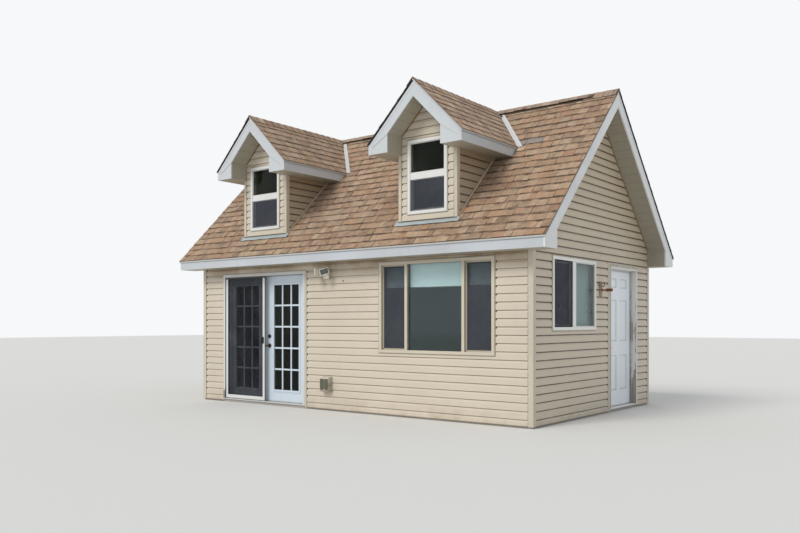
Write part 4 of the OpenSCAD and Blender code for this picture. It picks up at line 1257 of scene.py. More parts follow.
@dataclass
class Walls:
    """Siding and channels on the four walls and the two dormers."""

    paint: Paint
    planes: Planes
    siding: Siding
    channels: Channels
    spread: float
    top_gap: float = 0.008
    strip_out: float = 0.019
    strip_z: Span = (-0.022, -0.001)
    screw_x: float = 0.035
    screw_z: float = 1.860
    screw_radius: float = 0.011
    screw_depth: Span = (0.004, -0.0005)
    dormer_post: float = 0.048
    dormer_foot: float = 0.03
    cheek_end: float = 0.6
    cheek_lift: float = 0.036

    def opening(self, node: str, axis: str, place: Matrix, widths: Triple = (0.010, 0.010, 0.010)) -> Rect:
        """Channel a packed opening and return the hole that it leaves in the siding.

        Args:
            node: the window or door frame.
            axis: the world axis along the wall, "x" or "y".
            place: the wall's place.
            widths: face widths of the channels at the left, the right and the head.

        Returns:
            The hole as (left, right, bottom, top).
        """
        low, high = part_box(node)
        rect = (getattr(low, axis), getattr(high, axis), low.z, high.z)
        return self.channels.frame(node, rect, place, widths)

    def _lower(self, name: str, half: float, place: Matrix, holes: Sequence[Rect] = ()) -> Run:
        """The stretch between two corner posts, from the foot to the soffit."""
        reach = half - self.planes.post - self.siding.gap
        return Run(name, (-reach, reach), (self.siding.foot, self.planes.soffit_z), place, holes)

    @staticmethod
    def _slopes(centre: float, top: float) -> list[Cut]:
        """Planes that cut a gable's siding under its two soffits."""
        return [((centre, 0, top), (sign * ROOT_HALF, 0, ROOT_HALF)) for sign in (-1, 1)]

    def front(self) -> None:
        """Clad the front, where a screw hole is left near the middle."""
        p = self.planes
        place = Facing.FRONT.place(p.wall_y)
        doors = self.opening("french_frame", "x", place, (0.010, 0.032, 0.010))
        window = self.opening("picture_window", "x", place)
        self.siding.clad(self._lower("front_siding", p.half_x, place, [doors, window]))
        ends = [(self.screw_x, -p.half_y + inwards, self.screw_z) for inwards in self.screw_depth]
        hole = rod("front_screw_hole", *ends, self.screw_radius, 0.0015)
        self.paint.finish(hole, Look.SHADOW, "siding")

    def rear(self) -> None:
        """Clad the plain rear."""
        place = Facing.REAR.place(self.planes.wall_y)
        self.siding.clad(self._lower("rear_siding", self.planes.half_x, place))

    def gable(self, facing: Facing, holes: Sequence[Rect]) -> None:
        """Clad a gable: between the posts below the soffit, and up to the rake soffit above it.

        Args:
            facing: LEFT or RIGHT.
            holes: openings in the lower part.
        """
        p = self.planes
        place = facing.place(p.wall_x)
        side = facing.name.lower()
        self.siding.clad(self._lower(f"{side}_siding_low", p.half_y, place, holes), hand=-1)
        top = p.under_z - self.top_gap
        wide = p.return_y - self.siding.gap
        slopes = self._slopes(0, top)
        self.siding.wall(Run(f"{side}_siding_gable", (-wide, wide), (p.soffit_z, top), place, (), slopes))
        self.strips(f"{side}_gable_strips", 0.0, p.under_z, p.return_y, place)

    def strips(self, name: str, centre: float, peak: float, half: float, place: Matrix) -> None:
        """Finish the siding's sloping top with a pair of narrow strips under the rake soffit.

        Args:
            name: name of the piece.
            centre: middle of the gable along its wall.
            peak: height at which the soffit's slopes meet.
            half: half width over which the strips run.
            place: the wall's place.
        """
        low, high = self.strip_z
        parts = []
        for sign in (-1, 1):
            parts.append(block("strip", (0, -self.strip_out, low), (half / ROOT_HALF, 0, high), SOFT_EDGE))
            lean(parts[-1], (centre, 0, peak), sign)
        made = join(name, parts)
        made.data.transform(place)
        self.paint.finish(made, Look.STRIP, "siding")

    def dormer(self, dormer: Dormer) -> None:
        """Clad a dormer's face and cheeks."""
        p = self.planes
        name = f"{dormer.side}_dormer"
        place = Facing.FRONT.place(-dormer.frame_y)
        base = p.ridge_z + dormer.frame_y + self.dormer_foot
        low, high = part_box("dormer_windows")
        half_w = ((high.x - low.x) - self.spread) / 2
        rect = (dormer.centre - half_w, dormer.centre + half_w, low.z, high.z)
        hole = self.channels.frame(name, rect, place)
        reach = dormer.half - self.dormer_post - self.siding.gap
        along = (dormer.centre - reach, dormer.centre + reach)
        top = dormer.under_z - self.top_gap
        face = Run(f"{name}_face", along, (base, top), place, [hole], self._slopes(dormer.centre, top), base)
        self.siding.clad(face, top=dormer.soffit_z, joint=0.0)
        self.strips(f"{name}_strips", dormer.centre, dormer.under_z, dormer.half - dormer.return_in, place)
        front = dormer.frame_y + self.dormer_post + self.siding.gap
        for facing, sign, along in (
            (Facing.RIGHT, 1, (front, -self.cheek_end)), (Facing.LEFT, -1, (self.cheek_end, -front))
        ):
            side = facing.place(dormer.half - (p.half_x - p.wall_x) + sign * dormer.centre)
            roof = ((0, 0, p.ridge_z + self.cheek_lift), (sign * ROOT_HALF, 0, -ROOT_HALF))
            cheek = f"{name}_cheek_{facing.name.lower()}"
            self.siding.wall(Run(cheek, along, (base, dormer.soffit_z), side, (), [roof], base))


@dataclass
class Glazing:
    """Glass of each window, and the insect screens over the lights that open."""

    paint: Paint
    spread: float
    face: float = 0.04
    frame_t: float = 0.008
    cutter: Span = (-0.01, 0.02)
    mesh_in: float = 0.003
    mesh_t: float = 0.002
    vent: float = 0.460
    vent_in: float = 0.038
    vent_bar: float = 0.018
    slider: float = 0.5605
    slider_in: float = 0.008
    sash: float = 0.460
    sash_in: float = 0.014
    thin_bar: float = 0.012
    dormer_z: float = 2.4
    gable_x: float = 2.8

    def screen(self, name: str, rect: Rect, out: float, place: Matrix, look: Look, bar: float) -> None:
        """Set a framed insect screen.

        Args:
            name: name of the piece.
            rect: the screen's outline as (left, right, bottom, top).
            out: how far its face lies out from the wall's zero plane.
            place: the wall's place.
            look: finish of its frame.
            bar: face width of its frame.
        """
        a, b, c, d = rect
        ring = block(f"{name}_screen_frame", (a, -out, c), (b, -out + self.frame_t, d))
        near, far = self.cutter
        carve(ring, [((a + bar, -out + near, c + bar), (b - bar, -out + far, d - bar))])
        mesh_y = -out + self.mesh_in
        corners = (a + bar, mesh_y, c + bar), (b - bar, mesh_y + self.mesh_t, d - bar)
        net = block(f"{name}_screen_mesh", *corners)
        for part, finish, slot in ((ring, look, "screen_frame"), (net, Look.FINE_MESH, "screen_mesh")):
            part.data.transform(place)
            self.paint.finish(part, finish, slot)

    def screens(self) -> None:
        """Screen the lights that open: the picture window's vents, the side slider, the dormers' sashes."""
        level = Facing.FRONT.place(0.0)
        f = self.face
        low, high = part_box("picture_window")
        vent = self.vent - f / 2
        for name, left in (("vent_left", low.x + f), ("vent_right", high.x - vent)):
            rect = (left, left + vent - f, low.z + f, high.z - f)
            self.screen(name, rect, -low.y - self.vent_in, level, Look.ALMOND, self.vent_bar)
        low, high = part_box("side_window")
        rect = (low.y + f, low.y + self.slider, low.z + f, high.z - f)
        side = Facing.RIGHT.place(0.0)
        self.screen("side_window", rect, high.x - self.slider_in, side, Look.DARK_FRAME, self.thin_bar)
        low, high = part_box("dormer_windows")
        width = (high.x - low.x) - self.spread
        for name, left in (("dormer_left", low.x), ("dormer_right", high.x - width)):
            rect = (left + f, left + width - f, low.z + f, low.z + self.sash)
            self.screen(name, rect, -low.y - self.sash_in, level, Look.SCREEN_GREY, self.thin_bar)

    def panes(self) -> None:
        """Give the front, the side window and the dormers glass of their own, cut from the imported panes."""
        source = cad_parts["window_glass"]
        above, beside = (0, 0, self.dormer_z), (self.gable_x, 0, 0)
        for name, look, cuts, stands_for in (
            ("picture_glass", Look.WINDOW_GLASS, [(above, (0, 0, 1)), (beside, (1, 0, 0))], ["window_glass"]),
            ("side_glass", Look.SIDE_GLASS, [(above, (0, 0, 1)), (beside, (-1, 0, 0))], []),
            ("dormer_glass", Look.DORMER_GLASS, [(above, (0, 0, -1))], []),
        ):
            glass = add_object(name, source.data.copy())
            glass.data.name = name
            with editing(glass):
                bpy.ops.mesh.remove_doubles(threshold=1e-5)
            trim(glass, cuts)
            self.paint.finish(glass, look, "glass", stands_for)


@dataclass
class Hangings:
    """The roller blind of the picture window and the curtain of the side window, by their sizes."""

    paint: Paint
    drop: float = 0.345
    side_gap: float = 0.01
    behind: float = 0.034
    roll: float = 0.022
    tube: float = 0.015
    roll_in: float = 0.012
    tube_in: float = 0.002
    bracket: float = 0.004
    bracket_h: float = 0.042
    bracket_out: float = 0.02
    cloth_t: float = 0.0015
    cloth_in: float = 0.01
    cloth_top: float = 0.02
    cloth_cuts: int = 12
    hem: Span = (0.027, 0.019)
    hem_h: float = 0.012
    sag: float = 0.002
    folds: int = 30
    fold: float = 0.012
    curtain_start: float = 0.620
    curtain_gap: float = 0.012
    curtain_foot: float = 0.045
    curtain_in: float = 0.014
    rod_gap: float = 0.005
    rod_radius: float = 0.006
    knob_radius: float = 0.009
    knob: float = 0.012

    def blind(self) -> None:
        """Hang a roller blind behind the picture window, partly lowered."""
        low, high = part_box("picture_window")
        left, right, top = low.x + self.side_gap, high.x - self.side_gap, high.z
        y = high.y + self.behind
        axis_z = top - self.roll
        parts = [
            rod("roll", (left + inset, y, axis_z), (right - inset, y, axis_z), radius, 0.001)
            for inset, radius in ((self.roll_in, self.roll), (self.tube_in, self.tube))
        ]
        for end, inner in ((left, left + self.bracket), (right - self.bracket, right)):
            corners = (end, y - self.bracket_out, top - self.bracket_h), (inner, y + self.roll, top)
            parts.append(block("bracket", *corners, 0.001))
        self.paint.finish(join("blind_roller", parts), Look.VINYL, "window_vinyl")
        left, right, foot = left + self.cloth_in, right - self.cloth_in, top - self.drop
        front = y - self.roll
        cloth = block("blind_cloth", (left, front - self.cloth_t, foot), (right, front, top - self.cloth_top))
        with editing(cloth):
            bpy.ops.mesh.subdivide(number_cuts=self.cloth_cuts)
        middle, wide = (left + right) / 2, ((right - left) / 2 + self.cloth_in) * 0.4
        half_way = top - self.drop / 2
        shift(cloth, lambda co: abs(co.x - middle) < wide and co.z < half_way, (0, self.sag, 0))
        self.paint.finish(cloth, Look.BLIND, "window_vinyl")
        near, far = self.hem
        hem = block("blind_hem", (left, y - near, foot - self.hem_h), (right, y - far, foot), 0.003)
        self.paint.finish(hem, Look.VINYL, "window_vinyl")
        flat = (right - left, self.drop - self.cloth_top)

    def curtain(self) -> None:
        """Hang a short curtain in soft folds behind the fixed half of the side window."""
        low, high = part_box("side_window")
        start, end = low.y + self.curtain_start, high.y - self.curtain_gap
        x = low.x - self.curtain_in
        bottom, top = low.z + self.curtain_foot, high.z - self.curtain_gap
        near, far = low.y + self.rod_gap, high.y - self.rod_gap
        parts = [rod("pole", (x, near, top), (x, far, top), self.rod_radius, 0.001)]
        for y in (near, high.y - self.rod_gap - self.knob):
            parts.append(rod("knob", (x, y, top), (x, y + self.knob, top), self.knob_radius, 0.003))
        self.paint.finish(join("curtain_rod", parts), Look.VINYL, "window_vinyl")
        deselect()
        bpy.ops.mesh.primitive_grid_add(x_subdivisions=self.folds, y_subdivisions=8, size=1.0)
        cloth = settle(
            "side_curtain", (x, (start + end) / 2, (bottom + top) / 2), (end - start, top - bottom, 1.0),
            (math.radians(90), 0.0, math.radians(90)),
        )
        step = (end - start) / self.folds
        shift(cloth, lambda co: round((co.y - start) / step) % 2 == 1, (-self.fold, 0.0, 0.0))
        modify(cloth, "SUBSURF", levels=2, render_levels=2)
        modify(cloth, "SOLIDIFY", thickness=0.001, offset=0.0)
        self.paint.finish(cloth, Look.CURTAIN, "window_vinyl")


@dataclass
class Fittings:
    """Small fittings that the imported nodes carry."""

    paint: Paint
    yaw: float = 43.0
    roll: float = 18.0
    lens_xs: Span = (-0.3805, -0.1765)
    lens_y: float = -2.0450
    lens_z: float = 1.994
    lens_low: Triple = (-0.057, 0.004, -0.036)
    lens_high: Triple = (0.057, 0.0095, 0.036)
    edge: float = 0.003
    pull_in: float = 0.0175
    pull_out: float = 0.012
    pull_hollow: float = 0.003
    pull_w: float = 0.052
    pull_z: Span = (0.946, 1.046)
    pull_rim: float = 0.005

    def lenses(self) -> None:
        """Set the two floodlight lenses in the pockets of their heads."""
        left, right = self.lens_xs
        for name, x, roll, yaw in (
            ("flood_lens_left", left, 0.0, -self.yaw),
            ("flood_lens_right", right, -self.roll, self.yaw),
        ):
            lens = block(name, self.lens_low, self.lens_high, self.edge)
            turn = Matrix.Rotation(math.radians(yaw), 4, "Z") @ Matrix.Rotation(math.radians(roll), 4, "Y")
            lens.data.transform(Matrix.Translation((x, self.lens_y, self.lens_z)) @ turn)
            self.paint.finish(lens, Look.LENS, "glass")

    def screen_handle(self) -> None:
        """Set the black pull on the sliding screen's leading stile, its face hollowed inside the rim."""
        low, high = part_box("screen_frame")
        right = high.x - self.pull_in
        foot, top = self.pull_z
        inner_foot, inner_top = foot + self.pull_rim, top - self.pull_rim
        face = low.y - self.pull_out
        pull = block("screen_pull", (right - self.pull_w, face, foot), (right, low.y + 0.001, top), self.edge)
        hollow = (0.0, self.pull_hollow, 0.0)
        shift(pull, lambda co: co.y < face + 0.002 and inner_foot < co.z < inner_top, hollow)
        self.paint.finish(pull, Look.DARK_FRAME, "dark_metal", body="sliding_screen")


@dataclass
class Slope:
    """One roof plane to be shingled: origin at the ridge, along it, and up the slope."""

    name: str
    origin: Vector
    along: Vector
    up: Vector
    length: float
    start: Callable[[float], float]
    end: Callable[[float], float]
    lift: float = 0.0002

    def spot(self, a: float, down: float, width: float, thick: float, turn: float) -> Matrix:
        """Place of a shingle.

        Args:
            a: start along the ridge.
            down: distance of the butt from the ridge.
            width: width of the piece.
            thick: scale of its thickness.
            turn: small turn in the roof plane.

        Returns:
            The place just over the deck, with the master's width and thickness scaled.
        """
        normal = self.along.cross(self.up)
        axes = Matrix((self.along, self.up, normal)).transposed().to_4x4()
        at = self.origin + self.along * a - self.up * down + normal * self.lift
        size = Matrix.Diagonal((width, 1.0, thick, 1.0))
        return Matrix.Translation(at) @ axes @ Matrix.Rotation(turn, 4, "Z") @ size


@dataclass
class Shingling:
    """Laminated shingles in courses, with thick and thin tabs of random width."""

    exposure: float = 0.143
    run: float = 0.175
    thick: float = 0.0105
    thin: float = 0.0055
    widths: Span = (0.065, 0.185)
    thick_share: float = 0.55
    thick_slip: Span = (0.006, 0.016)
    thin_slip: Span = (-0.008, 0.002)
    overhang: float = 0.004
    narrowest: float = 0.004
    joint: float = 0.0025
    thick_spread: Span = (0.85, 1.15)
    askew: float = 0.35
    eased: Span = (0.002, -0.12)
    head_thin: float = -0.9
    top_gap: float = 0.02
    chance: random.Random = field(default_factory=lambda: random.Random(SEED))
    tab: Object = field(init=False)

    def __post_init__(self) -> None:
        """Model one tab: full thickness at the butt, thin at the head, the butt's top edge eased."""
        self.tab = block("tab_master", (0, 0, 0), (1, self.run, 1))
        bisect(self.tab, (0, 0.02, 0), (0, 1, 0), clear=False)
        shift(self.tab, lambda co: co.y > self.run - HAIR and co.z > 0.5, (0, 0, self.head_thin))
        shift(self.tab, lambda co: co.y < HAIR and co.z > 0.5, (0, *self.eased))

    def tone(self, grey: float = 0.0) -> Triple:
        """Random colour of one tab."""
        level = min(1.0, max(0.0, self.chance.gauss(0.5, 0.15)))
        rose = self.chance.random() ** 3
        return (level, rose, grey)

    def lay(
        self,
        slope: Slope,
        skip: Callable[[float, float], bool] = lambda along, down: False,
        grey: Callable[[float, float], float] = lambda along, down: 0.0,
    ) -> Object:
        """Shingle a slope.

        Args:
            slope: the roof plane.
            skip: says whether nothing lies at (along, down).
            grey: share of grey repair shingles at (along, down).

        Returns:
            The joined courses.
        """
        spots: list[Matrix] = []
        tones: list[Triple] = []
        down = slope.length
        while down > self.top_gap:
            a, end = slope.start(down), slope.end(down)
            while a < end:
                width = min(self.chance.uniform(*self.widths), end - a)
                tall = self.chance.random() < self.thick_share
                slip = self.chance.uniform(*(self.thick_slip if tall else self.thin_slip))
                edge = min(down + slip, slope.length + self.overhang)
                mid = a + width / 2
                if width > self.narrowest and not skip(mid, down):
                    thick = (self.thick if tall else self.thin) * self.chance.uniform(*self.thick_spread)
                    turn = math.radians(self.chance.gauss(0.0, self.askew))
                    spots.append(slope.spot(a, edge, width - self.joint, thick, turn))
                    tones.append(self.tone(grey(mid, down)))
                a += width
            down -= self.exposure
        return stamp(slope.name, self.tab, spots, tones)


@dataclass(frozen=True)
class Rake:
    """The sloping edges of one gable; its side seen in shade, 1 right or -1 left, has a drip edge painted
    black as shade.
    """

    name: str
    centre: float
    peak: float
    half: float
    place: Matrix
    look: Look
    dark: int


@dataclass
class Roof:
    """Shingles, caps and sheet metal of the main roof and the dormers."""

    paint: Paint
    planes: Planes
    dormers: Sequence[Dormer]
    shingling: Shingling
    deck_t: float = 0.020
    drip_edge: Span = (0.014, 0.005)
    fold: Span = (0.045, 0.003)
    side_gap: float = 0.002
    ridge_trim: float = 0.004
    valley_trim: float = 0.009
    valley_tuck: float = 0.16
    room_side: float = 0.06
    room_face: float = 0.1
    room_back: float = 0.05
    roof_side: float = 0.1
    roof_back: float = 0.08
    roof_reach: float = 1.0
    valley_side: float = 0.1
    valley_reach: float = 0.66
    repair_x: Span = (2.14, 2.56)
    repair_down: Span = (0.98, 1.13)
    repair_grey: float = 0.8
    valley_w: float = 0.072
    valley_t: float = 0.002
    valley_start: float = 0.13
    valley_lift: float = 0.0125
    valley_folds: tuple[Span, ...] = ((0.36, 0.0), (0.5, 0.005), (0.64, 0.0))
    tar_x: float = 0.10
    tar_y: float = -0.125
    tar_lift: float = 0.014
    tar_turn: Triple = (45.0, 0.0, 12.0)
    tar_tail: float = 0.12
    tar_size: Triple = (0.055, 0.042, 0.012)
    flange: float = 0.054
    flange_t: float = 0.0016
    flange_parts: int = 9
    flange_wave: float = 0.004
    flange_turn: float = 2.3
    apron_out: float = 0.022
    apron_past: float = 0.04
    apron_lift: float = 0.016
    shadow_line_z: Span = (0.035, 0.045)
    rake_drop: float = 0.205
    seam_fall: float = 31.0
    seam_start: float = 0.008
    seam_length: float = 0.30
    seam_halves: Span = (0.0025, 0.0009)
    cap_half: float = 0.10
    cap_run: float = 0.2
    cap_bend: Span = (0.012, 0.009)
    cap_step: float = 0.145
    cap_jitter: float = 0.5
    cap_rock: float = 3.0
    cap_tilt: float = 1.6
    cap_z: float = 0.015
    cap_trim: float = 0.0255
    cap_grey: float = 0.25
    dormer_cap_tilt: float = 2.3
    dormer_cap_z: float = 0.013
    bed_half: float = 0.103
    bed_t: float = 0.010
    bed_z: float = 0.004
    lifted: Span = (-1.70, 2.87)
    lift: float = 0.030

    def _well(self, x: float, down: float) -> bool:
        """Whether a spot on the front slope lies under a dormer's room or roof, clear of their edges."""
        y = down * ROOT_HALF
        for dormer in self.dormers:
            off = abs(x - dormer.centre)
            face = -dormer.frame_y
            if off < dormer.half - self.room_side and off + self.room_back < y < face - self.room_face:
                return True
            if off < dormer.span - self.roof_side and y < min(off - self.roof_back, self.roof_reach):
                return False
            if off < y - self.valley_side and y < min(dormer.span, self.valley_reach):
                return True
        return False

    def _repair(self, x: float, down: float) -> float:
        """Share of grey in the small repair beside the right dormer's valley."""
        (left, right), (top, foot) = self.repair_x, self.repair_down
        return self.repair_grey if left < x < right and top < down < foot else 0.0

    def main(self) -> None:
        """Shingle both main slopes."""
        p = self.planes
        edge = p.lip_x - self.side_gap
        ridge = Vector((0, 0, p.ridge_z))
        length = p.edge_y / ROOT_HALF - 0.004
        cuts = [((0, 0, p.ridge_z + self.ridge_trim), (0, 0, 1)), *p.ends]
        cuts += [((0, sign * (p.edge_y - RIM), 0), (0, sign, 0)) for sign in (-1, 1)]
        for name, sign, rules in (("front", 1, (self._well, self._repair)), ("rear", -1, ())):
            slope = Slope(
                f"{name}_shingles", ridge, Vector((sign, 0, 0)), Vector((0, sign * ROOT_HALF, ROOT_HALF)),
                length, lambda down: -edge, lambda down: edge,
            )
            made = self.shingling.lay(slope, *rules)
            trim(made, cuts)
            self.paint.finish(made, Look.SHINGLE, "shingle")

    def dormer(self, dormer: Dormer) -> None:
        """Shingle both slopes of a dormer, cut to the main slope along the valleys."""
        p = self.planes
        ridge = Vector((dormer.centre, 0, dormer.top_z))
        near = dormer.rake_y - p.drip + self.side_gap
        drop = p.ridge_z - dormer.top_z
        length = (dormer.span + p.drip) / ROOT_HALF - 0.003
        cuts = (
            ((0, 0, p.ridge_z + self.valley_trim), (0, ROOT_HALF, -ROOT_HALF)),
            ((0, 0, dormer.top_z + self.ridge_trim), (0, 0, 1)),
            ((0, near - 0.0015, 0), (0, -1, 0)),
        )

        def valley(down: float) -> float:
            """How far back a course runs before it meets the main slope."""
            return -(max(0.0, down * ROOT_HALF - self.valley_tuck) + drop)

        for name, sign, start, end in (
            ("right", 1, lambda down: near, valley),
            ("left", -1, lambda down: -valley(down), lambda down: -near),
        ):
            slope = Slope(
                f"{dormer.side}_dormer_shingles_{name}", ridge, Vector((0, sign, 0)),
                Vector((-sign * ROOT_HALF, 0, ROOT_HALF)), length, start, end,
            )
            made = self.shingling.lay(slope)
            trim(made, cuts)
            self.paint.finish(made, Look.SHINGLE, "shingle")

    def edges(self) -> None:
        """Set the metal edges under the decks' lips: a pale fold on every rake, and a drip edge painted black
        as shade on the sides seen in shade.
        """
        p = self.planes
        rakes = [
            Rake(facing.name.lower(), 0.0, p.ridge_z, p.eave_y, facing.place(p.rake_x), Look.RAKE, dark)
            for facing, dark in ((Facing.RIGHT, 1), (Facing.LEFT, -1))
        ]
        rakes += [
            Rake(
                f"{dormer.side}_dormer", dormer.centre, dormer.top_z, dormer.span,
                Facing.FRONT.place(-dormer.rake_y), Look.LIT_DORMER_WHITE, -1,
            )
            for dormer in self.dormers
        ]
        for rake in rakes:
            for sign, hand in ((-1, "left"), (1, "right")):
                self._edge(f"{rake.name}_fold_{hand}", rake, sign, self.fold, rake.look)
                if sign == rake.dark:
                    self._edge(f"{rake.name}_drip_edge", rake, sign, self.drip_edge, Look.DARK_FRAME)

    def _edge(self, name: str, rake: Rake, sign: int, size: Span, look: Look) -> None:
        """Set one sloping metal edge.

        Args:
            name: name of the piece.
            rake: the gable that it runs along.
            sign: which slope it follows.
            size: its height down from the deck, and how far it stands out from the rake board.
            look: its finish.
        """
        height, out = size
        made = block(name, (height, -out, -height), (rake.half / ROOT_HALF - 0.01, 0, 0), 0.001)
        shift(made, lambda co: co.x < height + HAIR and co.z > -0.002, (-height, 0, 0))
        lean(made, (rake.centre, 0, rake.peak - self.deck_t), sign)
        made.data.transform(rake.place)
        self.paint.finish(made, look, "flashing")

    def _tar(self) -> None:
        """Daub the tar that seals the top of the right dormer's valley."""
        centre = max(dormer.centre for dormer in self.dormers)
        deselect()
        bpy.ops.mesh.primitive_uv_sphere_add(segments=20, ring_count=10, radius=1.0)
        at = (centre + self.tar_x, self.tar_y, self.planes.ridge_z + self.tar_y + self.tar_lift)
        daub = settle("valley_tar", at, self.tar_size, [math.radians(angle) for angle in self.tar_turn])
        shift(daub, lambda co: co.x > centre + self.tar_tail, (0.012, -0.006, -0.006))
        self.paint.finish(daub, Look.TAR, "shingle")

    def valleys(self) -> None:
        """Lay folded metal over the shingles along each valley, from the ridge caps to the dormer's eave."""
        normal = Vector((0, -ROOT_HALF, ROOT_HALF))
        for dormer in self.dormers:
            drop = self.planes.ridge_z - dormer.top_z
            reach = dormer.span + self.planes.drip - self.valley_start
            for name, sign in (("right", 1), ("left", -1)):
                sheet = block(f"{dormer.side}_dormer_valley_{name}", (0, 0, 0), (1, 1, self.valley_t))
                for share, lift in self.valley_folds:
                    bisect(sheet, (0, share, 0), (0, 1, 0), clear=False)
                    shift(sheet, lambda co, s=share: abs(co.y - s) < HAIR, (0, 0, lift))
                down = Vector((sign * reach, -reach, -reach))
                across = Vector((sign * self.valley_w, 0, 0))
                start = Vector((dormer.centre, -drop, dormer.top_z)) + down * (self.valley_start / reach)
                axes = Matrix((down, across, normal)).transposed().to_4x4()
                sheet.data.transform(Matrix.Translation(start + normal * self.valley_lift) @ axes)
                if sign < 0:
                    sheet.data.flip_normals()
                self.paint.finish(sheet, Look.VALLEY, "flashing")

    def aprons(self) -> None:
        """Fold each dormer's apron out over the shingles, with a strip of painted shadow under the siding's
        foot.
        """
        low, high = self.shadow_line_z
        for dormer in self.dormers:
            front = dormer.frame_y - self.apron_out
            deck = self.planes.ridge_z + front
            left = dormer.centre - dormer.half - self.apron_past
            right = dormer.centre + dormer.half + self.apron_past
            name = f"{dormer.side}_dormer_apron"
            sheet = block(name, (left, -self.flange, 0.0), (right, 0.0, self.flange_t))
            spots = [left + (right - left) * n / self.flange_parts for n in range(self.flange_parts + 1)]
            for spot in spots[1:-1]:
                bisect(sheet, (spot, 0, 0), (1, 0, 0), clear=False)
            for n, spot in enumerate(spots):
                wave = self.flange_wave * math.sin(self.flange_turn * n + dormer.centre)
                rim = (0, wave, 0.3 * wave)
                shift(sheet, lambda co, s=spot: abs(co.x - s) < HAIR and co.y < -HAIR, rim)
            at = (0, front - 0.0005, deck + self.apron_lift / ROOT_HALF)
            sheet.data.transform(Matrix.Translation(at) @ Matrix.Rotation(math.radians(45), 4, "X"))
            self.paint.finish(sheet, Look.SHEET, "flashing")
            # A dark strip of painted shadow where the siding's foot overhangs the apron.
            joint = block(
                f"{name}_joint", (left + self.apron_past, front - 0.0015, deck + low),
                (right - self.apron_past, front + 0.004, deck + high), 0.0006,
            )
            self.paint.finish(joint, Look.SHADOW, "siding")

    def seams(self) -> None:
        """Mark the seam across each boxed return of the dormers, from its inner edge down and outwards."""
        for dormer in self.dormers:
            inner = dormer.half - dormer.return_in
            height = dormer.top_z - self.deck_t - self.rake_drop - inner - self.seam_start
            parts = []
            for sign, half in zip((-1, 1), self.seam_halves):
                parts.append(block("seam", (0.001, -0.0006, -half), (self.seam_length, 0.002, half)))
                lean(parts[-1], (dormer.centre + sign * inner, dormer.rake_y, height), sign, self.seam_fall)
            self.paint.finish(join(f"{dormer.side}_dormer_seams", parts), Look.SHADOW, "flashing")

    def _cap_master(self, half: float, run: float, thick: float = 0.007, lift: float = 0.0) -> Object:
        """Model one bent ridge cap about the X axis, its butt at x = 0, its wings lifted at their edges."""
        made = block("cap_master", (0, -half, 0), (run, half, thick))
        bend, fall = self.cap_bend
        for y in (-bend, 0.0, bend):
            bisect(made, (0, y, 0), (0, 1, 0), clear=False)
        shift(made, lambda co: abs(co.y) > half - HAIR, (0, 0, lift - half))
        shift(made, lambda co: abs(abs(co.y) - bend) < HAIR, (0, 0, -fall))
        return made

    def _cap_row(
        self, name: str, run: Span, tilt: float, spot: Callable[[float], Matrix], *,
        lift: float = 0.0, grey: float = 0.0, end: float = math.inf,
    ) -> Object:
        """Lay one row of overlapping caps.

        Args:
            name: name of the piece.
            run: where the row starts and stops.
            tilt: rise of each cap on the next, in degrees.
            spot: place of a cap along the row.
            lift: how far the wings stand up; such caps also rock.
            grey: share of grey in the colours.
            end: where the last cap is cut short.

        Returns:
            The joined caps.
        """
        chance = self.shingling.chance
        master = self._cap_master(self.cap_half, self.cap_run, lift=lift)
        spots: list[Matrix] = []
        tones: list[Triple] = []
        at, stop = run
        while at < stop - 1e-6:
            rise = tilt + chance.uniform(-self.cap_jitter, self.cap_jitter)
            turn = Matrix.Rotation(math.radians(rise), 4, "Y")
            if lift:
                rock = chance.uniform(-self.cap_rock, self.cap_rock)
                turn = turn @ Matrix.Rotation(math.radians(rock), 4, "X")
            width = min(1.0, (end - at) / self.cap_run)
            spots.append(spot(at) @ turn @ Matrix.Diagonal((width, 1, 1, 1)))
            tones.append(self.shingling.tone(grey))
            at += self.cap_step
        made = stamp(name, master, spots, tones, axis=0)
        discard(master)
        return made

    def caps(self) -> None:
        """Lay overlapping caps along the main ridge and the dormer ridges."""
        p = self.planes
        start, stop = self.lifted
        for name, run, lift, stands_for in (
            ("ridge_caps_left", (-p.lip_x + 0.001, start), 0.0, ["ridge_cap"]),
            ("ridge_caps_lifted", (start, stop), self.lift, []),
            ("ridge_caps_right", (stop, p.lip_x - 0.02), 0.0, []),
        ):
            made = self._cap_row(
                name, run, self.cap_tilt, lambda x: Matrix.Translation((x, 0, p.ridge_z + self.cap_z)),
                lift=lift, grey=self.cap_grey, end=p.lip_x - self.side_gap,
            )
            trim(made, (((0, 0, p.ridge_z + self.cap_trim), (0, 0, 1)), *p.ends))
            self.paint.finish(made, Look.SHINGLE, "shingle", stands_for)
        bed = self._cap_master(self.bed_half, 1.0, self.bed_t)
        start, length = -p.lip_x + self.side_gap, 2 * p.lip_x - 2 * self.side_gap
        place = Matrix.Translation((start, 0, p.ridge_z + self.bed_z))
        bed.data.transform(place @ Matrix.Diagonal((length, 1, 1, 1)))
        bed.name = "ridge_bed"
        self.paint.finish(bed, Look.SHADOW, "shingle")
        self._tar()
        quarter = Matrix.Rotation(math.radians(90), 4, "Z")
        for dormer in self.dormers:
            edge = dormer.rake_y - p.drip
            made = self._cap_row(
                f"{dormer.side}_dormer_caps", (edge + 0.001, -self.valley_tuck), self.dormer_cap_tilt,
                lambda y, d=dormer: Matrix.Translation((d.centre, y, d.top_z + self.dormer_cap_z)) @ quarter,
            )
            trim(made, [((0, edge + RIM, 0), (0, -1, 0))])
            self.paint.finish(made, Look.SHINGLE, "shingle")


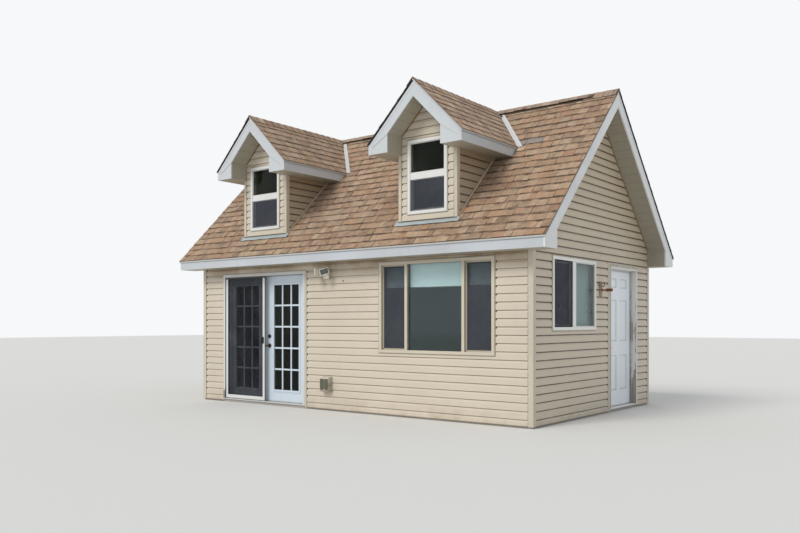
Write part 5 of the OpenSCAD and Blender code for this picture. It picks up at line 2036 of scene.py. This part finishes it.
@dataclass
class Stage:
    """Camera, floor, light and background."""

    eye: Triple = (7.618, -10.350, 1.265)
    heading: float = 37.756
    lens: float = 35.93
    rise: float = 0.0704
    floor_half: float = 60.0
    floor_z: float = -0.002
    floor_colour: Triple = (0.70, 0.695, 0.68)
    ambient: Triple = (0.93, 0.97, 1.0)
    ambient_strength: float = 0.62
    backdrop: Triple = (0.93, 0.94, 0.95)
    sun_turn: Triple = (46.0, 0.0, -10.0)
    sun_power: float = 1.75
    sun_angle: float = 24.0
    sun_colour: Triple = (1.0, 0.97, 0.92)

    def camera(self) -> None:
        """Set the level camera, its rise given by shift."""
        deselect()
        bpy.ops.object.camera_add(
            location=self.eye, rotation=(math.radians(90), 0.0, math.radians(self.heading))
        )
        camera = bpy.context.active_object
        camera.data.sensor_width = 36.0
        camera.data.lens = self.lens
        camera.data.shift_y = self.rise
        camera.data.clip_end = 300.0
        bpy.context.scene.camera = camera

    def floor(self) -> None:
        """Lay the pale floor."""
        deselect()
        bpy.ops.mesh.primitive_plane_add(size=2 * self.floor_half, location=(0, 0, self.floor_z))
        floor = bpy.context.active_object
        floor.name = "stage_floor"
        material, graph, shader = start_material("stage_floor")
        graph.give(shader, {"Base Color": self.floor_colour, "Roughness": 0.9})
        floor.data.materials.append(material)

    def world(self) -> None:
        """Set a pale world that the camera, gloss and glass see as near white."""
        world = bpy.data.worlds.new("studio")
        bpy.context.scene.world = world
        world.use_nodes = True
        world.node_tree.nodes.clear()
        graph = Graph(world.node_tree)
        path = graph.node("ShaderNodeLightPath").outputs
        rays = ("Camera", "Transmission", "Glossy")
        camera, glass, gloss = (Value(graph, path[f"Is {ray} Ray"]) for ray in rays)
        dim, bright = (
            graph.give(graph.node("ShaderNodeBackground"), {"Color": colour, "Strength": strength})[0]
            for colour, strength in ((self.ambient, self.ambient_strength), (self.backdrop, 1.0))
        )
        seen = graph.give(graph.node("ShaderNodeMixShader"), {0: camera | glass | gloss, 1: dim, 2: bright})
        graph.give(graph.node("ShaderNodeOutputWorld"), {"Surface": seen[0]})

    def lamp(self) -> None:
        """Set one broad soft sun from the front left, high up."""
        deselect()
        bpy.ops.object.light_add(type="SUN", rotation=[math.radians(angle) for angle in self.sun_turn])
        sun = bpy.context.active_object
        sun.data.energy = self.sun_power
        sun.data.angle = math.radians(self.sun_angle)
        sun.data.color = self.sun_colour

    def build(self) -> None:
        """Build the whole stage."""
        bpy.context.scene.view_settings.view_transform = "Standard"
        self.camera()
        self.floor()
        self.world()
        self.lamp()


NODE_LOOKS: dict[Look, tuple[str, ...]] = {
    Look.CONCRETE: ("floor_slab",),
    Look.BOARD: (
        "front_wall_left", "front_wall_over_doors", "front_wall_right", "right_wall_front",
        "right_wall_rear", "right_gable", "left_wall", "rear_wall",
        "left_dormer_front", "left_dormer_cheeks", "right_dormer_front", "right_dormer_cheeks",
    ),
    Look.POST: ("corner_posts",),
    Look.TIMBER: ("loft_floor",),
    Look.DECK: ("roof_front", "roof_rear", "left_dormer_roof", "right_dormer_roof", "ridge_cap"),
    Look.WHITE: ("eave_fascias",),
    Look.LIT_DORMER_WHITE: ("left_dormer_trim", "right_dormer_trim"),
    Look.RAKE: ("rake_trims",),
    Look.SOFFIT: ("soffits", "dormer_soffits"),
    Look.SHEET: ("dormer_flashings",),
    Look.VINYL: ("dormer_windows",),
    Look.LIT_SIDE_VINYL: ("side_window",),
    Look.SCREEN: ("screen_frame",),
    Look.ALMOND: ("picture_window",),
    Look.WINDOW_GLASS: ("window_glass",),
    Look.DOOR_GLASS: ("french_glass_left", "french_glass_right"),
    Look.CASING: ("french_frame",),
    Look.JAMB: ("side_door_frame",),
    Look.DOOR: ("french_leaf_left", "french_leaf_right"),
    Look.SIDE_DOOR: ("side_door_leaf",),
    Look.BRONZE: ("french_handle",),
    Look.MESH: ("screen_mesh",),
    Look.BRASS: ("side_door_knob",),
    Look.FLOOD: ("floodlight",),
    Look.SOCKET: ("socket_box",),
    Look.ARM: ("lamp_bracket",),
}


def main() -> None:
    """Build every sub-assembly in order."""
    logging.basicConfig(level=logging.INFO, format="%(message)s")
    paint = Paint()
    Stage().build()
    planes = Planes.from_frame()
    dormers = [Dormer.from_frame(side, planes) for side in ("left", "right")]
    for look, nodes in NODE_LOOKS.items():
        for node in nodes:
            paint.dress(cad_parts[node], look)
    walls = Walls(paint, planes, Siding(paint), Channels(paint), dormers[1].centre - dormers[0].centre)
    walls.front()
    walls.rear()
    right = Facing.RIGHT.place(planes.wall_x)
    walls.gable(Facing.RIGHT, [
        walls.opening("side_window", "y", right),
        walls.opening("side_door_frame", "y", right, (0.058, 0.010, 0.016)),
    ])
    walls.gable(Facing.LEFT, [])
    for dormer in dormers:
        walls.dormer(dormer)
    discard(walls.siding.master)
    roof = Roof(paint, planes, dormers, Shingling())
    roof.main()
    for dormer in dormers:
        roof.dormer(dormer)
    roof.caps()
    roof.edges()
    roof.valleys()
    roof.aprons()
    roof.seams()
    discard(roof.shingling.tab)
    glazing = Glazing(paint, walls.spread)
    glazing.panes()
    glazing.screens()
    hangings = Hangings(paint)
    hangings.blind()
    hangings.curtain()
    fittings = Fittings(paint)
    fittings.lenses()
    fittings.screen_handle()


if __name__ == "__main__":
    main()
